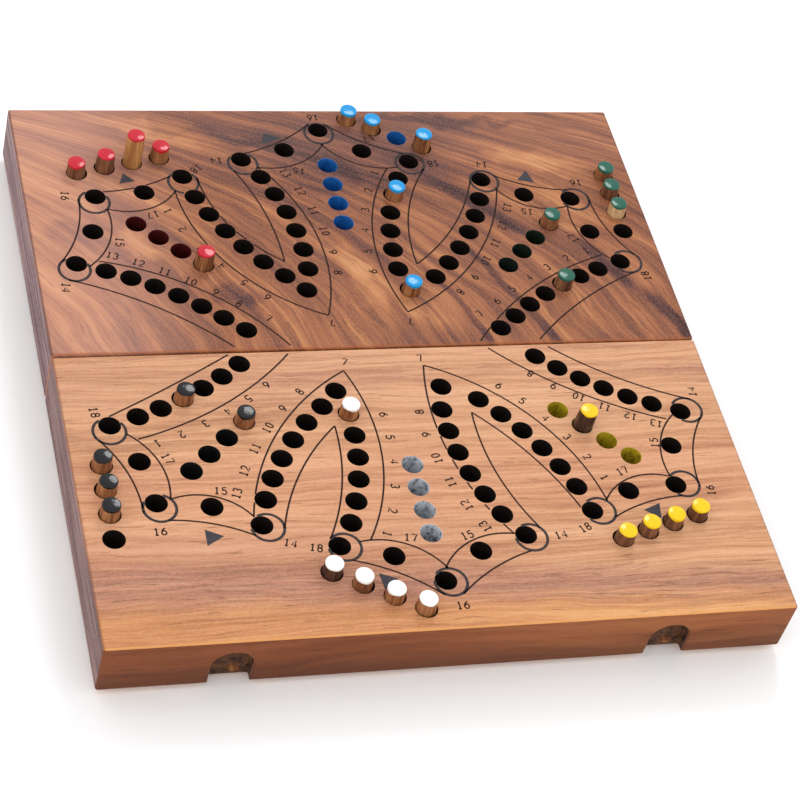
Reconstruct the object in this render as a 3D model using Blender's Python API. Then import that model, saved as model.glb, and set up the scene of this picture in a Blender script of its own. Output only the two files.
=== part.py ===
"""Folding peg race game for six players.

Two solid wood halves are drilled with one track and joined by two small butt hinges underneath.
Thirty dowel pegs, five to a colour, stand in the holes. Each half has a storage well below.

Frame: the origin is on the surface that the game stands on, under the middle of the seam.
+X points right, +Y to the back and +Z up. The front half stays put and the back half folds under.
"""

from math import asin, cos, hypot, pi, radians, sin

import bmesh
import bpy

# Driving dimensions, in metres.
BOARD_WIDTH = 0.280
HALF_DEPTH = 0.144
BOARD_THICKNESS = 0.0263
EDGE_CHAMFER = 0.0011
SEAM_GAP_RIGHT = 0.0005
SEAM_GAP_LEFT = 0.0013

PEG_RADIUS = 0.0040
PEG_LENGTH = 0.0223
PEG_CHAMFER = 0.0005
HOLE_RADIUS = 0.00445
HOLE_DEPTH = 0.0160
RUNNING_GAP = 0.0003

WELL_WIDTH = 0.206
WELL_FROM_SEAM = 0.028
WELL_TO_SEAM = 0.118
WELL_DEPTH = 0.0080
WELL_CORNER = 0.0100

NOTCH_AT_X = 0.0890
NOTCH_WIDTH = 0.0165
NOTCH_HEIGHT = 0.0185
NOTCH_DEPTH = 0.0042
BORE_RADIUS = 0.0028
BORE_HEIGHT = 0.0040
BORE_OFFSET = 0.0020
BORE_DEPTH = 0.0120

FOOT_HEIGHT = 0.0027
FOOT_RADIUS = 0.0048
FEET_AT_X = 0.1290
FRONT_FEET_AT_Y = (0.0200, 0.1300)
BACK_FEET_AT_Y = (0.0360, 0.1120)

HINGES_AT_X = {"left": -0.0800, "right": 0.0800}
HINGE_LENGTH = 0.0240
LEAF_WIDTH = 0.0140
LEAF_THICKNESS = 0.0010
AXIS_BELOW_BOARD = 0.00165
KNUCKLE_RADIUS = 0.0012
PIN_RADIUS = 0.0005
PIN_HOLE_RADIUS = 0.00066
KNUCKLE_GAP = 0.0003
SCREW_AT_Y = 0.0088
SCREW_SPACING = 0.0150
SCREW_HEAD_RADIUS = 0.0019
SCREW_SHANK_RADIUS = 0.0008
SCREW_LENGTH = 0.0080

# Worked out from the driving dimensions.
BOARD_BOTTOM = FOOT_HEIGHT + RUNNING_GAP
BOARD_TOP = BOARD_BOTTOM + BOARD_THICKNESS
AXIS_HEIGHT = BOARD_BOTTOM - AXIS_BELOW_BOARD
PEG_SEAT = BOARD_TOP - HOLE_DEPTH + RUNNING_GAP
LEAF_TOP = BOARD_BOTTOM - RUNNING_GAP
LEAF_BOTTOM = LEAF_TOP - LEAF_THICKNESS

BOARD_HOLE_SIDES = 12
PEG_SIDES = 12
FOOT_SIDES = 16
SMALL_SIDES = 10
ARC_STEPS = 6
THROUGH = 0.0010  # how far a cutter runs past the face that it opens

# The track of one quarter, in millimetres from the pattern's centre. A run is its first hole, its
# last hole and the rise of its arc; a single is one hole. The quarter is mirrored into the others.
MM = 0.001
HOLES_IN_RUN = 6
MIDDLE_RUNS = (((31.4, 95.6), (20.0, 40.1), -3.6),)
MIDDLE_SINGLES = ((38.5, 106.5), (17.9, 112.9), (22.7, 27.8))
MIDDLE_TIP = (0.0, 126.1)
CORNER_RUNS = (((33.5, 35.7), (64.8, 82.9), -3.2), ((109.5, 39.5), (64.1, 12.2), -2.3))
CORNER_SINGLES = ((68.4, 95.4), (86.6, 85.7), (108.1, 83.2), (111.9, 62.4), (121.3, 43.9))
SEAM_HOLES = ((-57.5, 11.2), (53.5, 9.0))

# Each arm is drilled on its own: its side of the board, then its offset in millimetres and its turn
# in degrees about the arm's middle. The track's centre lies a little behind the seam.
ARM_MIDDLE = {"middle": (0.0, 85.0), "corner": (85.0, 60.0)}
ARMS = {
    "blue": ("middle", 1, 1, (-3.3, 4.8), -1.2),
    "green": ("corner", 1, 1, (-1.7, 3.3), -0.6),
    "red": ("corner", -1, 1, (-1.4, 6.2), -0.4),
    "white": ("middle", 1, -1, (-3.2, 4.7), 0.6),
    "yellow": ("corner", 1, -1, (-0.7, 4.1), -1.4),
    "black": ("corner", -1, -1, (-1.0, 5.4), -1.3),
}

# The four waiting holes and the four finish holes of each colour: the row's first and last hole.
HOLES_IN_ROW = 4
HOME_ROWS = {
    "red": ((-115.3, 104.2), (-78.0, 113.2)),
    "blue": ((12.2, 137.4), (44.0, 119.8)),
    "green": ((126.9, 100.9), (126.3, 65.5)),
    "black": ((-128.1, -57.7), (-128.5, -93.7)),
    "white": ((-47.2, -114.6), (-13.6, -133.9)),
    "yellow": ((75.9, -105.6), (111.2, -95.6)),
}
FINISH_ROWS = {
    "red": ((-94.2, 73.1), (-69.1, 48.8)),
    "blue": ((-2.6, 108.2), (-2.7, 72.6)),
    "green": ((92.0, 70.6), (66.5, 45.8)),
    "black": ((-93.2, -62.1), (-67.6, -37.9)),
    "white": ((-3.3, -98.2), (-2.9, -63.4)),
    "yellow": ((91.8, -63.5), (66.6, -37.6)),
}

# Where the five pegs of each colour stand. "home" and "finish" count along the rows above, and
# "track" counts along that arm's own holes, as arm_holes lists them.
PEG_PLACES = {
    "red": (("home", 0), ("home", 1), ("home", 2), ("home", 3), ("finish", 3)),
    "blue": (("home", 0), ("home", 1), ("home", 3), ("track", 1), ("track", 8)),
    "green": (("home", 0), ("home", 1), ("home", 2), ("finish", 0), ("track", 8)),
    "black": (("home", 0), ("home", 1), ("home", 2), ("finish", 3), ("track", 8)),
    "white": (("home", 0), ("home", 1), ("home", 2), ("home", 3), ("track", 14)),
    "yellow": (("home", 0), ("home", 1), ("home", 2), ("home", 3), ("finish", 2)),
}

# Pegs that stick above their seats, by how many millimetres. The others are pushed right home.
RAISED_PEGS = {
    "red": {1: 2.1, 2: 10.4, 3: 1.3, 4: 2.1},
    "blue": {2: 2.3},
    "yellow": {4: 3.6},
}

MATERIALS = {  # base colour, roughness, metallic
    "dark_wood": ((0.17, 0.065, 0.030), 0.38, 0.0),
    "light_wood": ((0.47, 0.23, 0.105), 0.38, 0.0),
    "red_paint": ((0.42, 0.020, 0.022), 0.25, 0.0),
    "blue_paint": ((0.030, 0.290, 0.640), 0.25, 0.0),
    "green_paint": ((0.018, 0.085, 0.042), 0.25, 0.0),
    "black_paint": ((0.014, 0.013, 0.014), 0.25, 0.0),
    "white_paint": ((0.800, 0.780, 0.740), 0.25, 0.0),
    "yellow_paint": ((0.740, 0.470, 0.018), 0.25, 0.0),
    "brass": ((0.78, 0.57, 0.26), 0.28, 1.0),
    "steel": ((0.55, 0.55, 0.56), 0.30, 1.0),
    "foot_rubber": ((0.030, 0.028, 0.027), 0.75, 0.0),
}


def clear_scene():
    for obj in list(bpy.data.objects):
        bpy.data.objects.remove(obj, do_unlink=True)


def material(name):
    """The Principled material of that name, made the first time it is asked for."""
    found = bpy.data.materials.get(name)
    if found:
        return found
    colour, roughness, metallic = MATERIALS[name]
    made = bpy.data.materials.new(name)
    made.use_nodes = True
    shader = made.node_tree.nodes["Principled BSDF"]
    shader.inputs["Base Color"].default_value = (*colour, 1.0)
    shader.inputs["Roughness"].default_value = roughness
    shader.inputs["Metallic"].default_value = metallic
    made.diffuse_color = (*colour, 1.0)
    return made


# --- meshes -------------------------------------------------------------------------------------


def add_turned(mesh, profile, sides, centre=(0.0, 0.0), along="z"):
    """Adds a turned shape to a bmesh: profile lists (radius, height) from its low end up."""
    rings = []
    for radius, height in profile:
        ring = []
        for step in range(sides):
            angle = 2 * pi * (step + 0.5) / sides
            a = centre[0] + radius * cos(angle)
            b = centre[1] + radius * sin(angle)
            place = {"z": (a, b, height), "x": (height, a, b), "y": (b, height, a)}[along]
            ring.append(mesh.verts.new(place))
        rings.append(ring)
    mesh.faces.new(reversed(rings[0]))
    mesh.faces.new(rings[-1])
    for low, high in zip(rings, rings[1:]):
        for step in range(sides):
            after = (step + 1) % sides
            mesh.faces.new((low[step], low[after], high[after], high[step]))


def add_prism(mesh, outline, low, high, along="z"):
    """Adds a prism to a bmesh: outline runs anticlockwise as seen against the direction along."""
    ends = []
    for height in (low, high):
        if along == "z":
            ends.append([mesh.verts.new((a, b, height)) for a, b in outline])
        else:
            ends.append([mesh.verts.new((b, height, a)) for a, b in outline])
    mesh.faces.new(reversed(ends[0]))
    mesh.faces.new(ends[1])
    for step in range(len(outline)):
        after = (step + 1) % len(outline)
        mesh.faces.new((ends[0][step], ends[0][after], ends[1][after], ends[1][step]))


def add_box(mesh, low, high):
    outline = [(low[0], low[1]), (high[0], low[1]), (high[0], high[1]), (low[0], high[1])]
    add_prism(mesh, outline, low[2], high[2])


def object_from(mesh, name, slot, smooth=False):
    """Turns a bmesh into a named object with its material, at the world's origin."""
    data = bpy.data.meshes.new(name)
    mesh.to_mesh(data)
    mesh.free()
    if smooth:
        data.shade_smooth()
        data.set_sharp_from_angle(angle=radians(35))
    if slot:
        data.materials.append(material(slot))
    obj = bpy.data.objects.new(name, data)
    bpy.context.scene.collection.objects.link(obj)
    return obj


def cutter_from(mesh, name):
    obj = object_from(mesh, name, None)
    obj.hide_render = True
    obj.display_type = "WIRE"
    return obj


def boolean(obj, other, operation):
    modifier = obj.modifiers.new(f"{operation.lower()} {other.name}", "BOOLEAN")
    modifier.operation = operation
    modifier.object = other
    modifier.solver = "EXACT"


def put_under(obj, parent, origin=(0.0, 0.0, 0.0)):
    """Moves the object's own origin to a world point, its shape staying put, and parents it."""
    for vertex in obj.data.vertices:
        for axis in range(3):
            vertex.co[axis] -= origin[axis]
    obj.parent = parent
    obj.location = [origin[axis] - parent.location[axis] for axis in range(3)]


# --- where the holes are ------------------------------------------------------------------------


def along_arc(start, end, rise, count):
    """Evenly spaced points on an arc: rise is its height, to the left of start to end."""
    chord = hypot(end[0] - start[0], end[1] - start[1])
    forward = ((end[0] - start[0]) / chord, (end[1] - start[1]) / chord)
    left = (-forward[1], forward[0])
    radius = (chord**2 / 4 + rise**2) / (2 * abs(rise))
    half_turn = asin(chord / 2 / radius)
    side = 1 if rise > 0 else -1
    points = []
    for step in range(count):
        angle = half_turn * (2 * step / (count - 1) - 1)
        ahead = chord / 2 + radius * sin(angle)
        across = side * (radius * cos(angle) - radius + abs(rise))
        x = start[0] + ahead * forward[0] + across * left[0]
        y = start[1] + ahead * forward[1] + across * left[1]
        points.append((x, y))
    return points


def along_row(start, end, count=HOLES_IN_ROW):
    steps = [step / (count - 1) for step in range(count)]
    return [(start[0] + (end[0] - start[0]) * s, start[1] + (end[1] - start[1]) * s) for s in steps]


def quarter_holes(kind):
    """One arm's holes before it is mirrored, turned and offset, in millimetres."""
    if kind == "corner":
        runs = [along_arc(*run, HOLES_IN_RUN) for run in CORNER_RUNS]
        return [*runs[0], *runs[1], *CORNER_SINGLES]
    runs = [along_arc(*run, HOLES_IN_RUN) for run in MIDDLE_RUNS]
    right = [*runs[0], *MIDDLE_SINGLES]
    left = [(-x, y) for x, y in right]
    return [*right, *left, MIDDLE_TIP]


def arm_holes(colour):
    """The track holes of one arm, in metres on the board."""
    kind, side_x, side_y, offset, turn = ARMS[colour]
    middle = (ARM_MIDDLE[kind][0] * side_x, ARM_MIDDLE[kind][1] * side_y)
    cosine = cos(radians(turn))
    sine = sin(radians(turn))
    holes = []
    for x, y in quarter_holes(kind):
        a = x * side_x - middle[0]
        b = y * side_y - middle[1]
        turned_x = cosine * a - sine * b + middle[0] + offset[0]
        turned_y = sine * a + cosine * b + middle[1] + offset[1]
        holes.append((turned_x * MM, turned_y * MM))
    return holes


def row_holes(rows, colour):
    return [(x * MM, y * MM) for x, y in along_row(*rows[colour])]


def all_holes():
    holes = [(x * MM, y * MM) for x, y in SEAM_HOLES]
    for colour in ARMS:
        holes += arm_holes(colour)
        holes += row_holes(HOME_ROWS, colour)
        holes += row_holes(FINISH_ROWS, colour)
    return holes


def peg_place(colour, which):
    kind, index = PEG_PLACES[colour][which]
    if kind == "track":
        return arm_holes(colour)[index]
    return row_holes(HOME_ROWS if kind == "home" else FINISH_ROWS, colour)[index]


# --- the two wooden halves ----------------------------------------------------------------------


def half_outline(side):
    """The board's outline seen from above. The front half's seam edge runs slightly out of square."""
    reach = BOARD_WIDTH / 2
    if side > 0:
        near = SEAM_GAP_RIGHT / 2
        return [(-reach, near), (reach, near), (reach, HALF_DEPTH), (-reach, HALF_DEPTH)]
    right = -SEAM_GAP_RIGHT / 2
    left = right - (SEAM_GAP_LEFT - SEAM_GAP_RIGHT)
    return [(-reach, -HALF_DEPTH), (reach, -HALF_DEPTH), (reach, right), (-reach, left)]


def hole_cutter(name, side):
    mesh = bmesh.new()
    profile = [(HOLE_RADIUS, BOARD_TOP - HOLE_DEPTH), (HOLE_RADIUS, BOARD_TOP + THROUGH)]
    for x, y in all_holes():
        if y * side > 0:
            add_turned(mesh, profile, BOARD_HOLE_SIDES, (x, y))
    return cutter_from(mesh, name)


def rounded_corners(low, high, radius):
    """An anticlockwise rectangle outline with its corners rounded by arcs."""
    centres = [
        (high[0] - radius, high[1] - radius),
        (low[0] + radius, high[1] - radius),
        (low[0] + radius, low[1] + radius),
        (high[0] - radius, low[1] + radius),
    ]
    outline = []
    for quarter, (x, y) in enumerate(centres):
        for step in range(ARC_STEPS + 1):
            angle = pi / 2 * (quarter + step / ARC_STEPS)
            outline.append((x + radius * cos(angle), y + radius * sin(angle)))
    return outline


def well_cutter(name, side):
    near, far = sorted((side * WELL_FROM_SEAM, side * WELL_TO_SEAM))
    outline = rounded_corners((-WELL_WIDTH / 2, near), (WELL_WIDTH / 2, far), WELL_CORNER)
    mesh = bmesh.new()
    add_prism(mesh, outline, BOARD_BOTTOM - THROUGH, BOARD_BOTTOM + WELL_DEPTH)
    return cutter_from(mesh, name)


def notch_outline(centre_x):
    """An arch standing on the underside, as (height, x) pairs for a prism along Y."""
    radius = NOTCH_WIDTH / 2
    spring = BOARD_BOTTOM + NOTCH_HEIGHT - radius
    outline = [(BOARD_BOTTOM - THROUGH, centre_x - radius)]
    outline.append((BOARD_BOTTOM - THROUGH, centre_x + radius))
    steps = 2 * ARC_STEPS
    for step in range(steps + 1):
        angle = pi * step / steps
        outline.append((spring + radius * sin(angle), centre_x + radius * cos(angle)))
    return outline[::-1]


def notch_cutter(name, side):
    """The two arched notches in the outer edge, each with a small bore low in its back wall."""
    face = side * HALF_DEPTH
    wall = side * (HALF_DEPTH - NOTCH_DEPTH)
    end = side * (HALF_DEPTH - NOTCH_DEPTH - BORE_DEPTH)
    mesh = bmesh.new()
    for centre_x in (-NOTCH_AT_X, NOTCH_AT_X):
        low, high = sorted((wall, face + side * THROUGH))
        add_prism(mesh, notch_outline(centre_x), low, high, along="y")
    notches = cutter_from(mesh, name)
    mesh = bmesh.new()
    for centre_x in (-NOTCH_AT_X, NOTCH_AT_X):
        low, high = sorted((end, wall + side * THROUGH))
        centre = (BOARD_BOTTOM + BORE_HEIGHT, centre_x + BORE_OFFSET)
        add_turned(mesh, [(BORE_RADIUS, low), (BORE_RADIUS, high)], SMALL_SIDES, centre, along="y")
    return notches, cutter_from(mesh, name.replace("notches", "bores"))


def screw_spots(side):
    """Where the hinge screws of one half are: hinge name, screw number, x and y."""
    spots = []
    for hinge, hinge_x in HINGES_AT_X.items():
        for number, way in enumerate((-1, 1), start=1):
            spots.append((hinge, number, hinge_x + way * SCREW_SPACING / 2, side * SCREW_AT_Y))
    return spots


def pilot_cutter(name, side):
    mesh = bmesh.new()
    radius = SCREW_SHANK_RADIUS + 2 * RUNNING_GAP
    top = LEAF_BOTTOM + SCREW_LENGTH + 2 * RUNNING_GAP
    for _, _, x, y in screw_spots(side):
        add_turned(mesh, [(radius, BOARD_BOTTOM - THROUGH), (radius, top)], SMALL_SIDES, (x, y))
    return cutter_from(mesh, name)


def make_half(name, side, slot, parent):
    mesh = bmesh.new()
    add_prism(mesh, half_outline(side), BOARD_BOTTOM, BOARD_TOP)
    bmesh.ops.bevel(
        mesh, geom=list(mesh.edges), offset=EDGE_CHAMFER, segments=1, affect="EDGES", profile=0.5
    )
    half = object_from(mesh, name, slot)
    cutters = [
        hole_cutter(f"{name}_holes", side),
        well_cutter(f"{name}_well", side),
        *notch_cutter(f"{name}_notches", side),
        pilot_cutter(f"{name}_pilots", side),
    ]
    for cutter in cutters:
        boolean(half, cutter, "DIFFERENCE")
        put_under(cutter, parent, parent.location)
    put_under(half, parent, parent.location)


# --- pegs ---------------------------------------------------------------------------------------


def peg_raise(colour, which):
    return RAISED_PEGS.get(colour, {}).get(which, 0.0) * MM


def make_peg(name, slot, place, seat, parent):
    """A dowel with both rims eased. Its origin is on its slide axis, at its lower end."""
    x, y = place
    profile = [
        (PEG_RADIUS - PEG_CHAMFER, seat),
        (PEG_RADIUS, seat + PEG_CHAMFER),
        (PEG_RADIUS, seat + PEG_LENGTH - PEG_CHAMFER),
        (PEG_RADIUS - PEG_CHAMFER, seat + PEG_LENGTH),
    ]
    mesh = bmesh.new()
    add_turned(mesh, profile, PEG_SIDES, (x, y))
    peg = object_from(mesh, name, slot, smooth=True)
    put_under(peg, parent, (x, y, seat))


def make_pegs(front, back):
    for colour, places in PEG_PLACES.items():
        for which in range(len(places)):
            place = peg_place(colour, which)
            seat = PEG_SEAT + peg_raise(colour, which)
            parent = back if place[1] > 0 else front
            make_peg(f"{colour}_peg_{which + 1}", f"{colour}_paint", place, seat, parent)


# --- hinges, screws and feet --------------------------------------------------------------------


def knuckle_spans(hinge_x, side):
    """The stretches of barrel that belong to one leaf: two outer ones in front, one behind."""
    third = HINGE_LENGTH / 3
    start = hinge_x - HINGE_LENGTH / 2
    spans = [(start, start + third), (start + 2 * third, start + 3 * third)]
    if side > 0:
        spans = [(start + third + KNUCKLE_GAP, start + 2 * third - KNUCKLE_GAP)]
    return spans


def make_leaf(hinge, side, parent):
    """A hinge leaf: the plate, the tongues that reach its knuckles, and the knuckles."""
    hinge_x = HINGES_AT_X[hinge]
    half_length = HINGE_LENGTH / 2
    clear = KNUCKLE_RADIUS + KNUCKLE_GAP
    name = f"hinge_{hinge}_{'back' if side > 0 else 'front'}_leaf"
    near, far = sorted((side * clear, side * LEAF_WIDTH))
    mesh = bmesh.new()
    low = (hinge_x - half_length, near, LEAF_BOTTOM)
    add_box(mesh, low, (hinge_x + half_length, far, LEAF_TOP))
    leaf = object_from(mesh, name, "brass")
    for number, (start, end) in enumerate(knuckle_spans(hinge_x, side), start=1):
        inner, outer = sorted((side * 0.1 * MM, side * (clear + 0.3 * MM)))
        tongue_mesh = bmesh.new()
        add_box(tongue_mesh, (start, inner, LEAF_BOTTOM), (end, outer, LEAF_TOP))
        tongue = cutter_from(tongue_mesh, f"{name}_tongue_{number}")
        knuckle_mesh = bmesh.new()
        barrel = [(KNUCKLE_RADIUS, start), (KNUCKLE_RADIUS, end)]
        add_turned(knuckle_mesh, barrel, SMALL_SIDES, (0.0, AXIS_HEIGHT), along="x")
        knuckle = cutter_from(knuckle_mesh, f"{name}_knuckle_{number}")
        for piece in (tongue, knuckle):
            boolean(leaf, piece, "UNION")
            put_under(piece, parent, parent.location)
    bore_mesh = bmesh.new()
    reach = half_length + THROUGH
    bore = [(PIN_HOLE_RADIUS, hinge_x - reach), (PIN_HOLE_RADIUS, hinge_x + reach)]
    add_turned(bore_mesh, bore, SMALL_SIDES, (0.0, AXIS_HEIGHT), along="x")
    seats_mesh = bmesh.new()
    seat = [
        (SCREW_HEAD_RADIUS + RUNNING_GAP, LEAF_BOTTOM - THROUGH),
        (SCREW_HEAD_RADIUS + RUNNING_GAP, LEAF_BOTTOM),
        (SCREW_SHANK_RADIUS + RUNNING_GAP, LEAF_TOP),
        (SCREW_SHANK_RADIUS + RUNNING_GAP, LEAF_TOP + THROUGH),
    ]
    for spot_hinge, _, x, y in screw_spots(side):
        if spot_hinge == hinge:
            add_turned(seats_mesh, seat, SMALL_SIDES, (x, y))
    for cutter in (
        cutter_from(bore_mesh, f"{name}_bore"),
        cutter_from(seats_mesh, f"{name}_seats"),
    ):
        boolean(leaf, cutter, "DIFFERENCE")
        put_under(cutter, parent, parent.location)
    put_under(leaf, parent, parent.location)


def make_pin(hinge, parent):
    hinge_x = HINGES_AT_X[hinge]
    mesh = bmesh.new()
    ends = (hinge_x - HINGE_LENGTH / 2, hinge_x + HINGE_LENGTH / 2)
    profile = [(PIN_RADIUS, end) for end in ends]
    add_turned(mesh, profile, SMALL_SIDES, (0.0, AXIS_HEIGHT), along="x")
    pin = object_from(mesh, f"hinge_{hinge}_pin", "steel", smooth=True)
    put_under(pin, parent, (hinge_x, 0.0, AXIS_HEIGHT))


def make_screw(name, x, y, parent):
    """A countersunk screw, its head flush with the leaf and its shank up in the wood."""
    profile = [
        (SCREW_HEAD_RADIUS, LEAF_BOTTOM),
        (SCREW_SHANK_RADIUS, LEAF_TOP),
        (SCREW_SHANK_RADIUS, LEAF_BOTTOM + 0.8 * SCREW_LENGTH),
        (0.3 * SCREW_SHANK_RADIUS, LEAF_BOTTOM + SCREW_LENGTH),
    ]
    mesh = bmesh.new()
    add_turned(mesh, profile, SMALL_SIDES, (x, y))
    screw = object_from(mesh, name, "brass", smooth=True)
    put_under(screw, parent, (x, y, LEAF_BOTTOM))


def make_foot(name, x, y, parent):
    profile = [
        (0.85 * FOOT_RADIUS, 0.0),
        (FOOT_RADIUS, 0.4 * FOOT_HEIGHT),
        (FOOT_RADIUS, FOOT_HEIGHT),
    ]
    mesh = bmesh.new()
    add_turned(mesh, profile, FOOT_SIDES, (x, y))
    foot = object_from(mesh, name, "foot_rubber", smooth=True)
    put_under(foot, parent, (x, y, 0.0))


def make_hardware(side, parent):
    side_name = "back" if side > 0 else "front"
    for hinge in HINGES_AT_X:
        make_leaf(hinge, side, parent)
        if side < 0:
            make_pin(hinge, parent)
    for hinge, number, x, y in screw_spots(side):
        make_screw(f"hinge_{hinge}_{side_name}_screw_{number}", x, y, parent)
    feet_y = BACK_FEET_AT_Y if side > 0 else FRONT_FEET_AT_Y
    spots = [(x, side * y) for y in feet_y for x in (-FEET_AT_X, FEET_AT_X)]
    for number, (x, y) in enumerate(spots, start=1):
        make_foot(f"{side_name}_foot_{number}", x, y, parent)


def make_empty(name, place):
    empty = bpy.data.objects.new(name, None)
    empty.location = place
    bpy.context.scene.collection.objects.link(empty)
    return empty


def main():
    clear_scene()
    front = make_empty("front_frame", (0.0, 0.0, 0.0))
    back = make_empty("fold_axis", (0.0, 0.0, AXIS_HEIGHT))
    make_half("front_half", -1, "light_wood", front)
    make_half("back_half", 1, "dark_wood", back)
    make_pegs(front, back)
    make_hardware(-1, front)
    make_hardware(1, back)


main()
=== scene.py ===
"""Looks of the folding peg race game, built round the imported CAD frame.

Both halves, the pegs and the hardware are remade at a finer grain than the CAD and carry
procedural finishes. The print on the wood is thin raised ink. Lengths are in metres unless a name
or a comment says millimetres. Every mesh keeps its place in its vertices, as the CAD nodes do.
"""

from math import asin, cos, hypot, pi, radians, sin

import bmesh
import bpy
from mathutils import Matrix, Vector


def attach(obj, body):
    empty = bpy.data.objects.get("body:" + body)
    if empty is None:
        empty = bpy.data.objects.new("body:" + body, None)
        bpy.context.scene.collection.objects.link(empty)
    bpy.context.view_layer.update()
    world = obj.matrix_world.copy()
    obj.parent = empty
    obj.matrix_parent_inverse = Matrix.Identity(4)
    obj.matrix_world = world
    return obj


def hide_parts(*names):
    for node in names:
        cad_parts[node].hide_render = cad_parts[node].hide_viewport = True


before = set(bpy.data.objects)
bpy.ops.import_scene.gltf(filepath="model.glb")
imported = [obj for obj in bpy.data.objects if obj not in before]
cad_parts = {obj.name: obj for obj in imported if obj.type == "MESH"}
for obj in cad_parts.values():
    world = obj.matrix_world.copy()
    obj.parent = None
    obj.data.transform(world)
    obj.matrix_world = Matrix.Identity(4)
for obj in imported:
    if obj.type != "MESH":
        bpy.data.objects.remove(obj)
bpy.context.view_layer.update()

# --- dimensions shared with the CAD ---

MM = 0.001
BOARD_WIDTH = 0.280
HALF_DEPTH = 0.144
BOARD_BOTTOM = 0.0030
BOARD_TOP = 0.0293
EDGE_ROUNDING = 0.0011
SEAM_GAP_RIGHT = 0.0005
SEAM_GAP_LEFT = 0.0013

PEG_RADIUS = 0.0040
PEG_LENGTH = 0.0223
HOLE_RADIUS = 0.00445
HOLE_DEPTH = 0.0160
RUNNING_GAP = 0.0003
HOLE_FLOOR = BOARD_TOP - HOLE_DEPTH
PEG_SEAT = HOLE_FLOOR + RUNNING_GAP

WELL_WIDTH = 0.206
WELL_FROM_SEAM = 0.028
WELL_TO_SEAM = 0.118
WELL_DEPTH = 0.0080
WELL_CORNER = 0.0100

NOTCH_AT_X = 0.0890
NOTCH_WIDTH = 0.0165
NOTCH_HEIGHT = 0.0185
NOTCH_DEPTH = 0.0042
BORE_RADIUS = 0.0028
BORE_HEIGHT = 0.0040
BORE_OFFSET = 0.0020
BORE_DEPTH = 0.0120

FOOT_HEIGHT = 0.0027
FOOT_RADIUS = 0.0048
FEET_AT_X = 0.1290
FRONT_FEET_AT_Y = (0.0200, 0.1300)
BACK_FEET_AT_Y = (0.0360, 0.1120)

HINGES_AT_X = {"left": -0.0800, "right": 0.0800}
HINGE_LENGTH = 0.0240
LEAF_WIDTH = 0.0140
LEAF_TOP = 0.0027
LEAF_BOTTOM = 0.0017
AXIS_HEIGHT = 0.00135
KNUCKLE_RADIUS = 0.0012
KNUCKLE_GAP = 0.0003
PIN_RADIUS = 0.0005
PIN_HOLE_RADIUS = 0.00066
SCREW_AT_Y = 0.0088
SCREW_SPACING = 0.0150
SCREW_HEAD_RADIUS = 0.0019
SCREW_SHANK_RADIUS = 0.0008
SCREW_LENGTH = 0.0080

THROUGH = 0.0010  # how far a cutter runs past the face that it opens
HOLE_SIDES = 40
BORE_SIDES = 24
PILOT_SIDES = 16
ARC_STEPS = 10

# The largest turn, in degrees, that each kind of piece shades as smooth.
BOARD_SMOOTH = 38.0
METAL_SMOOTH = 32.0
ROUND_SMOOTH = 50.0

# The track of one quarter, in millimetres, as the CAD drills it.
HOLES_IN_RUN = 6
MIDDLE_RUN = ((31.4, 95.6), (20.0, 40.1), -3.6)
MIDDLE_SINGLES = ((38.5, 106.5), (17.9, 112.9), (22.7, 27.8))
MIDDLE_TIP = (0.0, 126.1)
INNER_RUN = ((33.5, 35.7), (64.8, 82.9), -3.2)
SIDE_RUN = ((109.5, 39.5), (64.1, 12.2), -2.3)
CORNER_SINGLES = ((68.4, 95.4), (86.6, 85.7), (108.1, 83.2), (111.9, 62.4), (121.3, 43.9))
SEAM_HOLES = ((-57.5, 11.2), (53.5, 9.0))

# Each arm: its kind, its side of the board, its offset in millimetres and its turn in degrees.
ARM_MIDDLE = {"middle": (0.0, 85.0), "corner": (85.0, 60.0)}
ARMS = {
    "blue": ("middle", 1, 1, (-3.3, 4.8), -1.2),
    "green": ("corner", 1, 1, (-1.7, 3.3), -0.6),
    "red": ("corner", -1, 1, (-1.4, 6.2), -0.4),
    "white": ("middle", 1, -1, (-3.2, 4.7), 0.6),
    "yellow": ("corner", 1, -1, (-0.7, 4.1), -1.4),
    "black": ("corner", -1, -1, (-1.0, 5.4), -1.3),
}
HOLES_IN_ROW = 4
HOME_ROWS = {
    "red": ((-115.3, 104.2), (-78.0, 113.2)),
    "blue": ((12.2, 137.4), (44.0, 119.8)),
    "green": ((126.9, 100.9), (126.3, 65.5)),
    "black": ((-128.1, -57.7), (-128.5, -93.7)),
    "white": ((-47.2, -114.6), (-13.6, -133.9)),
    "yellow": ((75.9, -105.6), (111.2, -95.6)),
}
FINISH_ROWS = {
    "red": ((-94.2, 73.1), (-69.1, 48.8)),
    "blue": ((-2.6, 108.2), (-2.7, 72.6)),
    "green": ((92.0, 70.6), (66.5, 45.8)),
    "black": ((-93.2, -62.1), (-67.6, -37.9)),
    "white": ((-3.3, -98.2), (-2.9, -63.4)),
    "yellow": ((91.8, -63.5), (66.6, -37.6)),
}
PEG_PLACES = {
    "red": (("home", 0), ("home", 1), ("home", 2), ("home", 3), ("finish", 3)),
    "blue": (("home", 0), ("home", 1), ("home", 3), ("track", 1), ("track", 8)),
    "green": (("home", 0), ("home", 1), ("home", 2), ("finish", 0), ("track", 8)),
    "black": (("home", 0), ("home", 1), ("home", 2), ("finish", 3), ("track", 8)),
    "white": (("home", 0), ("home", 1), ("home", 2), ("home", 3), ("track", 14)),
    "yellow": (("home", 0), ("home", 1), ("home", 2), ("home", 3), ("finish", 2)),
}
RAISED_PEGS = {  # pegs that stick above their seats, by how many millimetres
    "red": {1: 2.1, 2: 10.4, 3: 1.3, 4: 2.1},
    "blue": {2: 2.3},
    "yellow": {4: 3.6},
}
PAINTED_HOME_HOLE = ("blue", 2)


# --- the layout ---


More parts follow.
